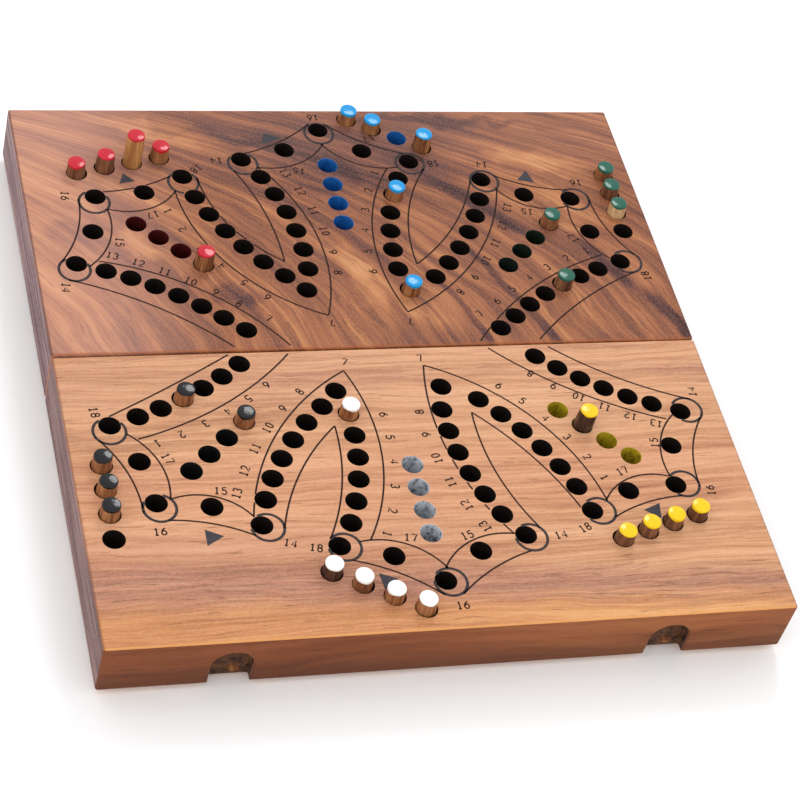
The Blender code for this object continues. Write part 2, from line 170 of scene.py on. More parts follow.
def along_arc(start, end, rise, count):
    """Evenly spaced points on an arc: rise is its height, to the left of start to end."""
    chord = hypot(end[0] - start[0], end[1] - start[1])
    forward = ((end[0] - start[0]) / chord, (end[1] - start[1]) / chord)
    left = (-forward[1], forward[0])
    radius = (chord**2 / 4 + rise**2) / (2 * abs(rise))
    half_turn = asin(chord / 2 / radius)
    side = 1 if rise > 0 else -1
    points = []
    for step in range(count):
        angle = half_turn * (2 * step / (count - 1) - 1)
        ahead = chord / 2 + radius * sin(angle)
        across = side * (radius * cos(angle) - radius + abs(rise))
        x = start[0] + ahead * forward[0] + across * left[0]
        y = start[1] + ahead * forward[1] + across * left[1]
        points.append((x, y))
    return points


def along_row(start, end):
    steps = [step / (HOLES_IN_ROW - 1) for step in range(HOLES_IN_ROW)]
    return [(start[0] + (end[0] - start[0]) * s, start[1] + (end[1] - start[1]) * s) for s in steps]


def quarter_holes(kind):
    """One arm's holes before it is mirrored, turned and offset, in millimetres."""
    if kind == "corner":
        inner = along_arc(*INNER_RUN, HOLES_IN_RUN)
        return [*inner, *along_arc(*SIDE_RUN, HOLES_IN_RUN), *CORNER_SINGLES]
    right = [*along_arc(*MIDDLE_RUN, HOLES_IN_RUN), *MIDDLE_SINGLES]
    left = [(-x, y) for x, y in right]
    return [*right, *left, MIDDLE_TIP]


def on_arm(colour, point):
    """A point of the quarter's template, in millimetres, moved to its place on that arm."""
    kind, side_x, side_y, offset, turn = ARMS[colour]
    middle = (ARM_MIDDLE[kind][0] * side_x, ARM_MIDDLE[kind][1] * side_y)
    cosine = cos(radians(turn))
    sine = sin(radians(turn))
    a = point[0] * side_x - middle[0]
    b = point[1] * side_y - middle[1]
    x = cosine * a - sine * b + middle[0] + offset[0]
    return x, sine * a + cosine * b + middle[1] + offset[1]


def arm_holes(colour):
    places = [on_arm(colour, point) for point in quarter_holes(ARMS[colour][0])]
    return [(x * MM, y * MM) for x, y in places]


def row_holes(rows, colour):
    return [(x * MM, y * MM) for x, y in along_row(*rows[colour])]


def all_holes():
    """Every hole as (place, paint), where paint is a colour name or None."""
    holes = [((x * MM, y * MM), None) for x, y in SEAM_HOLES]
    for colour in ARMS:
        holes += [(place, None) for place in arm_holes(colour)]
        for index, place in enumerate(row_holes(HOME_ROWS, colour)):
            holes.append((place, colour if (colour, index) == PAINTED_HOME_HOLE else None))
        holes += [(place, colour) for place in row_holes(FINISH_ROWS, colour)]
    return holes


def peg_place(colour, which):
    kind, index = PEG_PLACES[colour][which]
    if kind == "track":
        return arm_holes(colour)[index]
    return row_holes(HOME_ROWS if kind == "home" else FINISH_ROWS, colour)[index]


# --- finishes ---


class Finish:
    """One material's node graph. Values may be numbers, colours or sockets."""

    def __init__(self, name, **settings):
        self.material = bpy.data.materials.new(name)
        self.material.use_nodes = True
        self.tree = self.material.node_tree
        self.shader = self.tree.nodes["Principled BSDF"]
        for socket, value in settings.items():
            self.put(self.shader.inputs[socket.replace("_", " ")], value)

    def put(self, socket, value):
        if isinstance(value, bpy.types.NodeSocket):
            self.tree.links.new(value, socket)
        elif isinstance(value, tuple) and socket.type == "RGBA":
            socket.default_value = (*value, 1.0)
        else:
            socket.default_value = value

    def node(self, kind, inputs, output=0, **attributes):
        made = self.tree.nodes.new("ShaderNode" + kind)
        for key, value in attributes.items():
            setattr(made, key, value)
        for key, value in inputs.items():
            self.put(made.inputs[key], value)
        return made.outputs[output]

    def math(self, operation, a, b=0.0, clamp=False):
        return self.node("Math", {0: a, 1: b}, operation=operation, use_clamp=clamp)

    def parts(self, values):
        """Each value as it is, or multiplied out where it is paired with a factor."""
        return [self.times(*value) if isinstance(value, tuple) else value for value in values]

    def add(self, *values):
        total, *rest = self.parts(values)
        for value in rest:
            total = self.math("ADD", total, value)
        return total

    def times(self, total, *values):
        for value in values:
            total = self.math("MULTIPLY", total, value)
        return total

    def minus(self, a, b):
        return self.math("SUBTRACT", a, b)

    def size(self, value):
        return self.math("ABSOLUTE", value)

    def mix(self, factor, a, b, blend="MIX"):
        inputs = {0: factor, 6: a, 7: b}
        return self.node("Mix", inputs, output=2, data_type="RGBA", blend_type=blend)

    def noise(self, *parts, detail=2.0, roughness=0.5):
        """Noise over two or three parts, mostly coordinates paired with their scales."""
        vector = self.node("CombineXYZ", dict(enumerate(self.parts(parts))))
        inputs = {"Vector": vector, "Scale": 1.0, "Detail": detail, "Roughness": roughness}
        return self.node("TexNoise", inputs)

    def spread(self, value, low, high, to_low=0.0, to_high=1.0):
        """Value eased from the range low to high onto to_low to to_high."""
        inputs = {0: value, 1: low, 2: high, 3: to_low, 4: to_high}
        return self.node("MapRange", inputs, interpolation_type="SMOOTHSTEP")

    def above(self, value, edge, steepness):
        """How far the value is above the edge, cut to 0 to 1."""
        return self.math("MULTIPLY", self.minus(value, edge), steepness, clamp=True)

    def fade(self, value, low, high):
        """Value eased from 1 at low to 0 at high."""
        return self.spread(value, low, high, 1.0, 0.0)

    def ramp(self, value, *stops):
        """Colours along a value: each stop is a position, then a colour or one grey."""
        made = self.tree.nodes.new("ShaderNodeValToRGB")
        elements = made.color_ramp.elements
        while len(elements) < len(stops):
            elements.new(1.0)
        for element, (position, *colour) in zip(elements, stops):
            element.position = position
            element.color = (*(colour * 3 if len(colour) == 1 else colour), 1.0)
        self.put(made.inputs[0], value)
        return made.outputs[0]

    def place(self):
        """The point on the piece as it lies at rest: x, y and z in millimetres."""
        at = self.node("TexCoord", {}, output="Object")
        vector = self.node("VectorMath", {0: at, "Scale": 1 / MM}, operation="SCALE")
        split = self.tree.nodes.new("ShaderNodeSeparateXYZ")
        self.put(split.inputs[0], vector)
        return tuple(split.outputs)

    def facing(self, axis):
        """How far the surface faces along that axis, either way, from 0 to 1."""
        split = self.tree.nodes.new("ShaderNodeSeparateXYZ")
        self.put(split.inputs[0], self.node("TexCoord", {}, output="Normal"))
        return self.size(split.outputs[axis])

    def spot(self, vector, centre, reach, turn):
        """1 in the middle of an oval patch on the board, easing to 0 at its edge."""
        inputs = {
            "Vector": vector,
            "Location": (*centre, 0.0),
            "Rotation": (0.0, 0.0, radians(turn)),
            "Scale": (*reach, 1000.0),
        }
        turned = self.node("Mapping", inputs, vector_type="TEXTURE")
        far = self.node("VectorMath", {0: turned}, output="Value", operation="LENGTH")
        return self.fade(far, 0.25, 1.0)

    def bump(self, height, distance, strength):
        inputs = {"Height": height, "Distance": distance, "Strength": strength}
        self.put(self.shader.inputs["Normal"], self.node("Bump", inputs))

    def rough(self, pattern, low, high):
        self.put(self.shader.inputs["Roughness"], self.spread(pattern, 0.3, 0.7, low, high))

    def colour(self, value):
        self.put(self.shader.inputs["Base Color"], value)
        return self.material


def rounded_edge(f, axis):
    """1 on the rounded edges that turn from the top towards that axis, 0 on the flats."""
    face = f.facing(axis)
    upward = f.spread(f.facing(2), 0.15, 0.40)
    edge = f.times(f.spread(face, 0.12, 0.40), f.fade(face, 0.80, 0.97))
    return f.times(edge, upward)


def edged(f, wood, edges, *stops):
    """Wood with a painted highlight on the rounded edges along X, painted shade on those along Y, and
    a ring pattern of its own on its sawn ends.
    """
    x, y, z = f.place()
    # The first tint is a painted highlight on the edges along X, the second painted shade on the
    # edges along Y.
    for axis, (amount, tint) in zip((1, 0), edges):
        wood = f.mix(f.times(rounded_edge(f, axis), amount), wood, tint)
    rings = f.noise((y, 0.016), (z, 0.42), (x, 0.02), detail=4.0, roughness=0.6)
    return f.mix(f.spread(f.facing(0), 0.75, 0.97), wood, f.ramp(rings, *stops))


def lacquered(f, wood, fibres, dash):
    """Satin lacquer that follows the fibres and sinks a little into the pores."""
    f.rough(fibres, 0.42, 0.56)
    f.bump(f.minus(f.times(fibres, 0.5), dash), 0.00006, 0.6)
    return f.colour(wood)


def light_wood():
    """The front half: honey-coloured, with straight grain along X under satin lacquer, and painted
    shade on its outer face and in its notches.
    """
    f = Finish("light_wood_lacquered", Specular_IOR_Level=0.10)
    x, y, z = f.place()
    sway = f.noise((x, 0.009), (y, 0.040), (z, 0.03))
    ripple = f.noise((x, 0.05), (y, 0.11), (z, 0.08), detail=1.0)
    grain = f.add(y, (z, 0.5), (sway, 11.0), (ripple, 2.2))
    broad = f.noise((x, 0.0035), (grain, 0.085))
    bands = f.noise((x, 0.010), (grain, 0.34), 3.0, detail=3.0, roughness=0.55)
    fibres = f.noise((x, 0.030), (grain, 0.85), 7.0, detail=4.0, roughness=0.62)
    tone = f.add((broad, 0.30), (bands, 0.32), (fibres, 0.38))
    honey = f.ramp(
        tone,
        (0.34, 0.345, 0.145, 0.072),
        (0.45, 0.515, 0.248, 0.128),
        (0.53, 0.640, 0.338, 0.182),
        (0.66, 0.745, 0.440, 0.260),
    )
    pink = f.ramp(
        tone,
        (0.34, 0.220, 0.085, 0.060),
        (0.46, 0.390, 0.170, 0.110),
        (0.56, 0.560, 0.275, 0.170),
        (0.68, 0.690, 0.390, 0.240),
    )
    profile = f.node("MapRange", {0: f.add(grain, -6.0), 1: -144.0, 2: 0.0})
    zones = f.ramp(
        profile,
        (0.31, 0.04),
        (0.58, 0.05),
        (0.64, 0.36),
        (0.72, 0.06),
        (0.88, 0.30),
        (0.95, 0.60),
    )
    slant = f.size(f.add(y, (x, 0.07), (ripple, 6.0), 120.0))
    band = f.fade(slant, 1.0, 14.0)
    patch = f.spread(f.noise((x, 0.008), (y, 0.05), 11.0), 0.40, 0.62)
    rosy = f.add((zones, f.add((patch, 0.7), 0.5)), (band, 0.85))
    wood = f.mix(f.math("MINIMUM", rosy, 1.0), honey, pink)
    low = f.times(f.fade(y, -100.0, -82.0), f.fade(x, -50.0, 110.0))
    wood = f.mix(low, wood, (0.86, 0.78, 0.82), "MULTIPLY")
    middle = f.times(f.spread(y, -96.0, -84.0), f.fade(y, -60.0, -50.0))
    wood = f.mix(middle, wood, (0.96, 0.89, 0.90), "MULTIPLY")
    strip = f.fade(f.add(y, (ripple, 8.0), (x, 0.02)), -132.0, -120.0)
    wood = f.mix(strip, wood, (1.06, 0.97, 0.72), "MULTIPLY")
    streaky = f.noise((x, 0.018), (grain, 0.42), 7.0, detail=3.0, roughness=0.6)
    streaky = f.times(f.spread(streaky, 0.42, 0.60, 0.0, 0.62), band)
    wood = f.mix(streaky, wood, (0.350, 0.165, 0.115))
    pores = f.noise((x, 0.070), (grain, 1.15), (z, 0.6), roughness=0.6)
    crowd = f.noise((x, 0.016), (y, 0.06), 5.0)
    edge = f.minus(0.73, f.add((crowd, 0.20), (band, 0.08)))
    dash = f.above(pores, edge, 11.0)
    wood = f.mix(f.times(dash, 0.60), wood, (0.210, 0.080, 0.042))
    speck = f.noise((x, 0.9), (y, 2.2), (z, 2.2), detail=1.0)
    wood = f.mix(f.spread(speck, 0.35, 0.75, 0.0, 0.12), wood, (0.90, 0.62, 0.38))
    # Painted highlight, golden, on the rounded front and back edges, and painted shade, dark brown,
    # on the rounded left and right edges.
    wood = edged(
        f,
        wood,
        ((0.65, (0.780, 0.360, 0.120)), (0.60, (0.200, 0.070, 0.035))),
        (0.32, 0.075, 0.034, 0.036),
        (0.48, 0.170, 0.088, 0.086),
        (0.64, 0.330, 0.200, 0.190),
    )
    upright = f.fade(f.facing(2), 0.3, 0.6)
    outer = f.fade(y, -120.0, -100.0)
    # Painted shade: the outer face of the front half is darkened, more towards its left end.
    front = f.times(f.spread(f.facing(1), 0.25, 0.60), outer, upright)
    painted_front_shade = f.mix(f.spread(x, -60.0, 90.0), (0.35, 0.225, 0.19), (0.46, 0.31, 0.26))
    wood = f.mix(front, wood, painted_front_shade, "MULTIPLY")
    # Painted shade towards the bottom of the outer face, broken up by the grain bands.
    foot = f.times(front, f.spread(f.add(z, (bands, 9.0)), 9.0, 27.0, 0.55, 0.0))
    wood = f.mix(foot, wood, (0.050, 0.020, 0.014))
    # The notch walls are darkened nearly to black in a mottle: partly the bare unlacquered wood
    # there, mostly painted shade in the recess.
    inside = f.times(f.spread(y, -143.6, -142.2), f.fade(y, -139.6, -138.8))
    inside = f.times(inside, f.fade(f.size(x), 110.0, 115.0), upright)
    mottle = f.noise((x, 0.30), (y, 0.20), (z, 0.30), detail=4.0, roughness=0.7)
    notch_wall_shade = f.ramp(mottle, (0.38, 0.012, 0.007, 0.005), (0.66, 0.150, 0.062, 0.026))
    wood = f.mix(f.times(inside, 0.92), wood, notch_wall_shade)
    return lacquered(f, wood, fibres, dash)


def dark_wood():
    """The back half: the grain runs along X at the back and sweeps down to the right."""
    f = Finish("dark_wood_lacquered", Specular_IOR_Level=0.10)
    x, y, z = f.place()
    lift = f.math("POWER", f.times(f.math("MAXIMUM", y, 0.0), 0.01), 3.2)
    sway = f.noise((x, 0.011), (y, 0.014), (z, 0.02))
    ripple = f.noise((x, 0.055), (y, 0.055), (z, 0.06))
    flow = f.add(x, (y, 0.4), (lift, 37.5))
    grain = f.add(flow, (z, 0.7), (sway, 26.0), (ripple, 5.0), -15.5)
    run = f.add((x, 0.6), (y, -0.8))
    broad = f.noise((grain, 0.046), (run, 0.010), 2.0)
    bands = f.noise((grain, 0.19), (run, 0.012), 9.0, detail=3.0, roughness=0.55)
    fibres = f.noise((grain, 0.62), (run, 0.028), 4.0, detail=4.0, roughness=0.64)
    tone = f.add((broad, 0.38), (bands, 0.34), (fibres, 0.28))
    spots = (  # centre, reach and turn of each patch, and how much it darkens (-) or lightens
        ((-93.0, 61.0), (17.0, 11.0), -48.0, 0.14),
        ((-124.0, 66.0), (17.0, 13.0), 0.0, -0.11),
        ((-60.0, 29.0), (15.0, 11.0), -30.0, -0.13),
        ((-38.0, 124.0), (34.0, 6.5), -17.0, -0.12),
        ((5.0, 116.0), (90.0, 36.0), -6.0, -0.10),
        ((2.0, 104.0), (22.0, 7.0), -35.0, -0.08),
        ((-88.0, 133.0), (40.0, 8.0), -24.0, 0.09),
        ((0.0, 35.0), (9.0, 34.0), 12.0, 0.09),
        ((92.0, 112.0), (40.0, 9.0), -10.0, 0.08),
        ((28.0, 20.0), (22.0, 14.0), -60.0, 0.08),
        ((60.0, 138.0), (70.0, 5.0), -5.0, -0.11),
        ((100.0, 80.0), (26.0, 14.0), -35.0, 0.07),
        ((-135.0, 75.0), (40.0, 110.0), 0.0, 0.10),
    )
    at = f.node("CombineXYZ", {0: x, 1: y, 2: z})
    wavy = f.node("TexNoise", {"Vector": at, "Scale": 0.06, "Detail": 2.0}, output="Color")
    wavy = f.node("VectorMath", {0: wavy, 1: (0.5, 0.5, 0.5)}, operation="SUBTRACT")
    wavy = f.node("VectorMath", {0: wavy, "Scale": 26.0}, operation="SCALE")
    shaken = f.node("VectorMath", {0: at, 1: wavy}, operation="ADD")
    for centre, reach, turn, amount in spots:
        tone = f.add(tone, (f.spot(shaken, centre, reach, turn), amount))
    streaks = (  # where in the flow, half width, from y to y, and how dark
        (77.0, 4.0, -4.0, 66.0, 0.17),
        (47.6, 3.0, -4.0, 50.0, 0.15),
        (115.0, 7.0, 62.0, 104.0, 0.15),
        (134.0, 6.0, 28.0, 66.0, 0.13),
        (139.5, 5.0, -4.0, 34.0, 0.17),
    )
    bent = f.add(flow, (f.minus(ripple, 0.5), 9.0))
    for centre, width, low, high, amount in streaks:
        off = f.size(f.minus(bent, centre))
        line = f.fade(off, 0.2 * width, width)
        ends = (f.spread(y, low, low + 8.0), f.fade(y, high - 12.0, high))
        tone = f.minus(tone, f.times(line, *ends, amount))
    wood = f.ramp(
        tone,
        (0.28, 0.034, 0.013, 0.016),
        (0.38, 0.094, 0.035, 0.032),
        (0.46, 0.195, 0.069, 0.040),
        (0.53, 0.310, 0.113, 0.053),
        (0.61, 0.470, 0.194, 0.082),
        (0.72, 0.630, 0.310, 0.140),
    )
    pores = f.noise((grain, 0.95), (run, 0.075), (z, 0.5), roughness=0.6)
    dash = f.above(pores, 0.58, 9.0)
    wood = f.mix(f.times(dash, 0.52), wood, (0.055, 0.022, 0.020))
    speck = f.noise((x, 1.1), (y, 1.1), (z, 1.4), detail=1.0)
    wood = f.mix(f.spread(speck, 0.40, 0.78, 0.0, 0.14), wood, (0.66, 0.38, 0.24))
    # Paler and pinker towards the left end, and a little towards the back edge.
    paler_left_and_back = f.add(f.spread(x, -118.0, -62.0, 0.30, 0.0), f.spread(y, 92.0, 132.0, 0.0, 0.07))
    wood = f.mix(paler_left_and_back, wood, (0.640, 0.370, 0.320))
    # Painted highlight, orange, on the rounded front and back edges, and painted shade, near black,
    # on the rounded left and right edges.
    wood = edged(
        f,
        wood,
        ((0.55, (0.420, 0.140, 0.055)), (0.70, (0.090, 0.030, 0.022))),
        (0.32, 0.090, 0.045, 0.050),
        (0.48, 0.190, 0.105, 0.108),
        (0.64, 0.360, 0.230, 0.225),
    )
    return lacquered(f, wood, fibres, dash)


def bore_wood():
    """The inside of a drilled hole, painted nearly black for the shade deep in the hole."""
    f = Finish("hole_wall_painted_shade", Roughness=0.85, Specular_IOR_Level=0.15)
    x, y, z = f.place()
    # Painted shade: the hole walls are a near-black mottle, so that empty holes read black.
    shade_mottle = f.noise((x, 0.8), (y, 0.8), (z, 2.5), detail=3.0)
    return f.colour(f.ramp(shade_mottle, (0.35, 0.004, 0.003, 0.003), (0.70, 0.018, 0.010, 0.007)))


# The coat and blotch colours of the finish holes are the paint darkened as painted shade inside the
# hole.
PAINTS = {  # the paint on a peg's top, and the thin uneven coat inside a finish hole
    "red": ((0.560, 0.012, 0.030), (0.080, 0.006, 0.006), (0.030, 0.004, 0.004)),
    "blue": ((0.004, 0.300, 0.680), (0.015, 0.150, 0.450), (0.012, 0.090, 0.280)),
    "green": ((0.014, 0.112, 0.075), (0.012, 0.022, 0.014), (0.006, 0.008, 0.006)),
    "black": ((0.006, 0.006, 0.008), (0.010, 0.009, 0.009), (0.006, 0.006, 0.006)),
    "white": ((0.920, 0.915, 0.900), (0.590, 0.620, 0.660), (0.100, 0.108, 0.130)),
    "yellow": ((0.920, 0.590, 0.004), (0.500, 0.375, 0.016), (0.200, 0.150, 0.012)),
}


def hole_paint(colour):
    """A thin coat brushed into a hole, darkened as painted shade, with darker blotches that are
    partly thin coat and partly painted shade.
    """
    # The coat colour is the paint darkened as painted shade inside the hole; the blotches are darker
    # still, partly thin coat and partly painted shade.
    _, coat, bare = PAINTS[colour]
    f = Finish(f"hole_paint_{colour}", Roughness=0.45)
    x, y, z = f.place()
    blotch = f.noise((x, 0.42), (y, 0.42), (z, 0.30), detail=3.0, roughness=0.65)
    grainy = f.noise((x, 2.0), (y, 2.0), (z, 0.7))
    cover = f.spread(f.add((blotch, 0.75), (grainy, 0.25)), 0.36, 0.54)
    return f.colour(f.mix(cover, bare, coat))


def peg_paint(colour):
    """Thick glossy enamel, dipped or brushed, so it is a little uneven."""
    tint = PAINTS[colour][0]
    f = Finish(f"peg_paint_{colour}", Roughness=0.11, Specular_IOR_Level=0.30)
    x, y, z = f.place()
    thick = f.noise((x, 0.35), (y, 0.35), (z, 0.35))
    worn = f.noise((x, 1.6), (y, 1.6), (z, 1.6), detail=3.0)
    deep = tuple(0.86 * channel for channel in tint)
    f.bump(f.add((thick, 0.95), (worn, 0.05)), 0.00022, 0.5)
    return f.colour(f.mix(f.spread(worn, 0.35, 0.65), tint, deep))


DOWEL_TONES = {  # a dowel's darkest streaks, its body and its lightest wood
    "amber": ((0.100, 0.032, 0.014), (0.270, 0.104, 0.040), (0.430, 0.200, 0.082)),
    "brown": ((0.044, 0.016, 0.010), (0.145, 0.056, 0.027), (0.280, 0.122, 0.058)),
    "dark": ((0.020, 0.010, 0.008), (0.060, 0.026, 0.016), (0.140, 0.060, 0.032)),
    "gold": ((0.250, 0.095, 0.030), (0.430, 0.190, 0.062), (0.600, 0.310, 0.115)),
    "pale": ((0.420, 0.240, 0.110), (0.610, 0.390, 0.190), (0.720, 0.500, 0.280)),
}


def dowel_wood(tone):
    """Turned dowel: streaks along its length, and small pores."""
    dark, body, light = DOWEL_TONES[tone]
    f = Finish(f"dowel_wood_{tone}", Specular_IOR_Level=0.3)
    x, y, z = f.place()
    streak = f.noise((x, 0.38), (y, 0.38), (z, 0.020), detail=3.0, roughness=0.6)
    fibre = f.noise((x, 1.7), (y, 1.7), (z, 0.09), detail=3.0, roughness=0.6)
    tone_map = f.add((streak, 0.62), (fibre, 0.38))
    wood = f.ramp(tone_map, (0.36, *dark), (0.50, *body), (0.64, *light))
    pores = f.noise((x, 2.6), (y, 2.6), (z, 0.35), detail=1.0)
    dash = f.above(pores, 0.62, 12.0)
    wood = f.mix(f.times(dash, 0.5), wood, dark)
    f.rough(fibre, 0.36, 0.52)
    f.bump(f.minus(f.times(fibre, 0.6), dash), 0.00008, 0.6)
    return f.colour(wood)


def ink(name, dark, thin):
    """Screen-printed ink, a little thin where the wood's pores drank it."""
    f = Finish(name, Roughness=0.8, Specular_IOR_Level=0.05)
    x, y, _ = f.place()
    drunk = f.noise((x, 0.5), (y, 1.6), detail=3.0, roughness=0.6)
    return f.colour(f.mix(f.spread(drunk, 0.40, 0.75), dark, thin))


def brass():
    """Stamped brass plate: fine brushing and dull spots."""
    f = Finish("brass_stamped", Metallic=1.0)
    x, y, z = f.place()
    brushed = f.noise((x, 0.4), (y, 6.0), (z, 6.0), detail=3.0)
    dull = f.noise((x, 0.35), (y, 0.35), (z, 0.35), detail=3.0)
    f.rough(dull, 0.22, 0.42)
    f.bump(brushed, 0.00002, 0.5)
    return f.colour(f.mix(f.spread(dull, 0.35, 0.7), (0.80, 0.58, 0.27), (0.55, 0.36, 0.15)))


def steel():
    """Drawn steel pin."""
    f = Finish("pin_steel_drawn", Metallic=1.0)
    x, y, z = f.place()
    drawn = f.noise((x, 0.3), (y, 9.0), (z, 9.0))
    f.rough(drawn, 0.22, 0.38)
    return f.colour(f.mix(drawn, (0.46, 0.46, 0.47), (0.64, 0.64, 0.65)))


def rubber():
    """Moulded bumper foot, dusty on its face."""
    f = Finish("foot_rubber_moulded", Roughness=0.7)
    x, y, z = f.place()
    dust = f.noise((x, 0.9), (y, 0.9), (z, 0.9), detail=4.0)
    f.bump(dust, 0.00005, 0.5)
    return f.colour(f.mix(f.spread(dust, 0.45, 0.75), (0.022, 0.021, 0.021), (0.075, 0.070, 0.066)))


WOODS = {"front_half": light_wood(), "back_half": dark_wood()}
BORED = bore_wood()
HOLE_PAINTS = {colour: hole_paint(colour) for colour in ARMS}
PEG_PAINTS = {colour: peg_paint(colour) for colour in ARMS}
DOWELS = {tone: dowel_wood(tone) for tone in DOWEL_TONES}
LINE_INK = ink("line_ink", (0.026, 0.015, 0.013), (0.075, 0.040, 0.030))
RING_INK = ink("ring_ink", (0.038, 0.032, 0.033), (0.085, 0.068, 0.066))
FILL_INK = ink("fill_ink", (0.046, 0.046, 0.056), (0.100, 0.085, 0.088))
BRASS = brass()
STEEL = steel()
RUBBER = rubber()


# --- meshes ---


def add_loft(mesh, loops, slot=0):
    """Adds a closed shape from loops of equal length, each anticlockwise seen from the last."""
    rings = [[mesh.verts.new(point) for point in loop] for loop in loops]
    faces = [mesh.faces.new(reversed(rings[0])), mesh.faces.new(rings[-1])]
    for low, high in zip(rings, rings[1:]):
        for step in range(len(low)):
            after = (step + 1) % len(low)
            faces.append(mesh.faces.new((low[step], low[after], high[after], high[step])))
    for face in faces:
        face.material_index = slot


def add_turned(mesh, profile, sides, centre, along="z"):
    """Adds a turned shape to a bmesh: profile lists (radius, height) from its low end up."""
    loops = []
    for radius, height in profile:
        loop = []
        for step in range(sides):
            angle = 2 * pi * (step + 0.5) / sides
            a = centre[0] + radius * cos(angle)
            b = centre[1] + radius * sin(angle)
            loop.append({"z": (a, b, height), "x": (height, a, b), "y": (b, height, a)}[along])
        loops.append(loop)
    add_loft(mesh, loops)


def object_from(mesh, name, materials):
    data = bpy.data.meshes.new(name)
    mesh.to_mesh(data)
    mesh.free()
    for material in materials:
        data.materials.append(material)
    obj = bpy.data.objects.new(name, data)
    bpy.context.scene.collection.objects.link(obj)
    return obj


def turned_object(name, material, profile, sides, *centres, along="z"):
    mesh = bmesh.new()
    for centre in centres:
        add_turned(mesh, profile, sides, centre, along)
    return object_from(mesh, name, [material])


def box_object(name, material, low, high):
    mesh = bmesh.new()
    corners = [(low[0], low[1]), (high[0], low[1]), (high[0], high[1]), (low[0], high[1])]
    add_loft(mesh, [[(x, y, z) for x, y in corners] for z in (low[2], high[2])])
    return object_from(mesh, name, [material])


def carve(obj, cutters, operation="DIFFERENCE"):
    """Applies each cutter to the object for good, with the cutter's own materials on its faces."""
    for cutter in cutters:
        modifier = obj.modifiers.new("carve", "BOOLEAN")
        modifier.operation = operation
        modifier.object = cutter
        modifier.solver = "EXACT"
        modifier.material_mode = "TRANSFER"
    graph = bpy.context.evaluated_depsgraph_get()
    carved = bpy.data.meshes.new_from_object(obj.evaluated_get(graph), depsgraph=graph)
    obj.modifiers.clear()
    plain = obj.data
    obj.data = carved
    bpy.data.meshes.remove(plain)
    carved.name = obj.name
    for cutter in cutters:
        bpy.data.objects.remove(cutter, do_unlink=True)


def ease(obj, angle):
    """Smooth shading across every edge that turns by less than the angle in degrees."""
    obj.data.shade_smooth()
    obj.data.set_sharp_from_angle(angle=radians(angle))


def finish_piece(obj, angle, body, node):
    ease(obj, angle)
    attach(obj, body)
    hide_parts(node)


# --- the two wooden halves ---

SIDES = {"front_half": -1, "back_half": 1}
RIM_EASE = 0.0001
WELL_EASE = 0.0008
NOTCH_EASE = 0.0007
NOTCH_FILLET = 0.0006
LARGEST_SMOOTH_FACE = 2.5e-5
HOLE_STEPS = ((HOLE_RADIUS, HOLE_FLOOR), (HOLE_RADIUS, BOARD_TOP - RIM_EASE))
HOLE_PROFILE = (
    *HOLE_STEPS,
    (HOLE_RADIUS + RIM_EASE, BOARD_TOP),
    (HOLE_RADIUS + RIM_EASE, BOARD_TOP + THROUGH),
)


def half_outline(side):
    """The board seen from above. The front half's seam edge runs slightly out of square."""
    reach = BOARD_WIDTH / 2
    if side > 0:
        near = SEAM_GAP_RIGHT / 2
        return [(-reach, near), (reach, near), (reach, HALF_DEPTH), (-reach, HALF_DEPTH)]
    right = -SEAM_GAP_RIGHT / 2
    left = right - (SEAM_GAP_LEFT - SEAM_GAP_RIGHT)
    return [(-reach, -HALF_DEPTH), (reach, -HALF_DEPTH), (reach, right), (-reach, left)]


def rounded_corners(low, high, radius):
    """An anticlockwise rectangle outline with its corners rounded by arcs."""
    centres = [
        (high[0] - radius, high[1] - radius),
        (low[0] + radius, high[1] - radius),
        (low[0] + radius, low[1] + radius),
        (high[0] - radius, low[1] + radius),
    ]
    outline = []
    for quarter, (x, y) in enumerate(centres):
        for step in range(ARC_STEPS + 1):
            angle = pi / 2 * (quarter + step / ARC_STEPS)
            outline.append((x + radius * cos(angle), y + radius * sin(angle)))
    return outline


def hole_cutters(side):
    """One cutter for the bare holes of a half and one for each paint."""
    groups = {}
    for place, paint in all_holes():
        if place[1] * side > 0:
            groups.setdefault(paint, []).append(place)
    cutters = []
    for paint, places in groups.items():
        inside = BORED if paint is None else HOLE_PAINTS[paint]
        cutters.append(turned_object(f"holes_{paint}", inside, HOLE_PROFILE, HOLE_SIDES, *places))
    return cutters


def well_cutter(side, wood):
    """The storage well in the underside, with an eased rim."""
    near, far = sorted((side * WELL_FROM_SEAM, side * WELL_TO_SEAM))
    loops = []
    steps = ((WELL_EASE, -THROUGH), (WELL_EASE, 0.0), (0.0, WELL_EASE), (0.0, WELL_DEPTH))
    for grow, z in steps:
        low = (-WELL_WIDTH / 2 - grow, near - grow)
        high = (WELL_WIDTH / 2 + grow, far + grow)
        outline = rounded_corners(low, high, WELL_CORNER + grow)
        loops.append([(x, y, BOARD_BOTTOM + z) for x, y in outline])
    mesh = bmesh.new()
    add_loft(mesh, loops)
    return object_from(mesh, "well", [wood])


def notch_loop(centre_x, y, grow):
    """An arch standing on the underside, run clockwise as seen from the front."""
    radius = NOTCH_WIDTH / 2 + grow
    spring = BOARD_BOTTOM + NOTCH_HEIGHT - NOTCH_WIDTH / 2
    loop = [(centre_x - radius, y, BOARD_BOTTOM - THROUGH)]
    for step in range(2 * ARC_STEPS + 1):
        angle = pi - pi * step / (2 * ARC_STEPS)
        loop.append((centre_x + radius * cos(angle), y, spring + radius * sin(angle)))
    loop.append((centre_x + radius, y, BOARD_BOTTOM - THROUGH))
    return loop


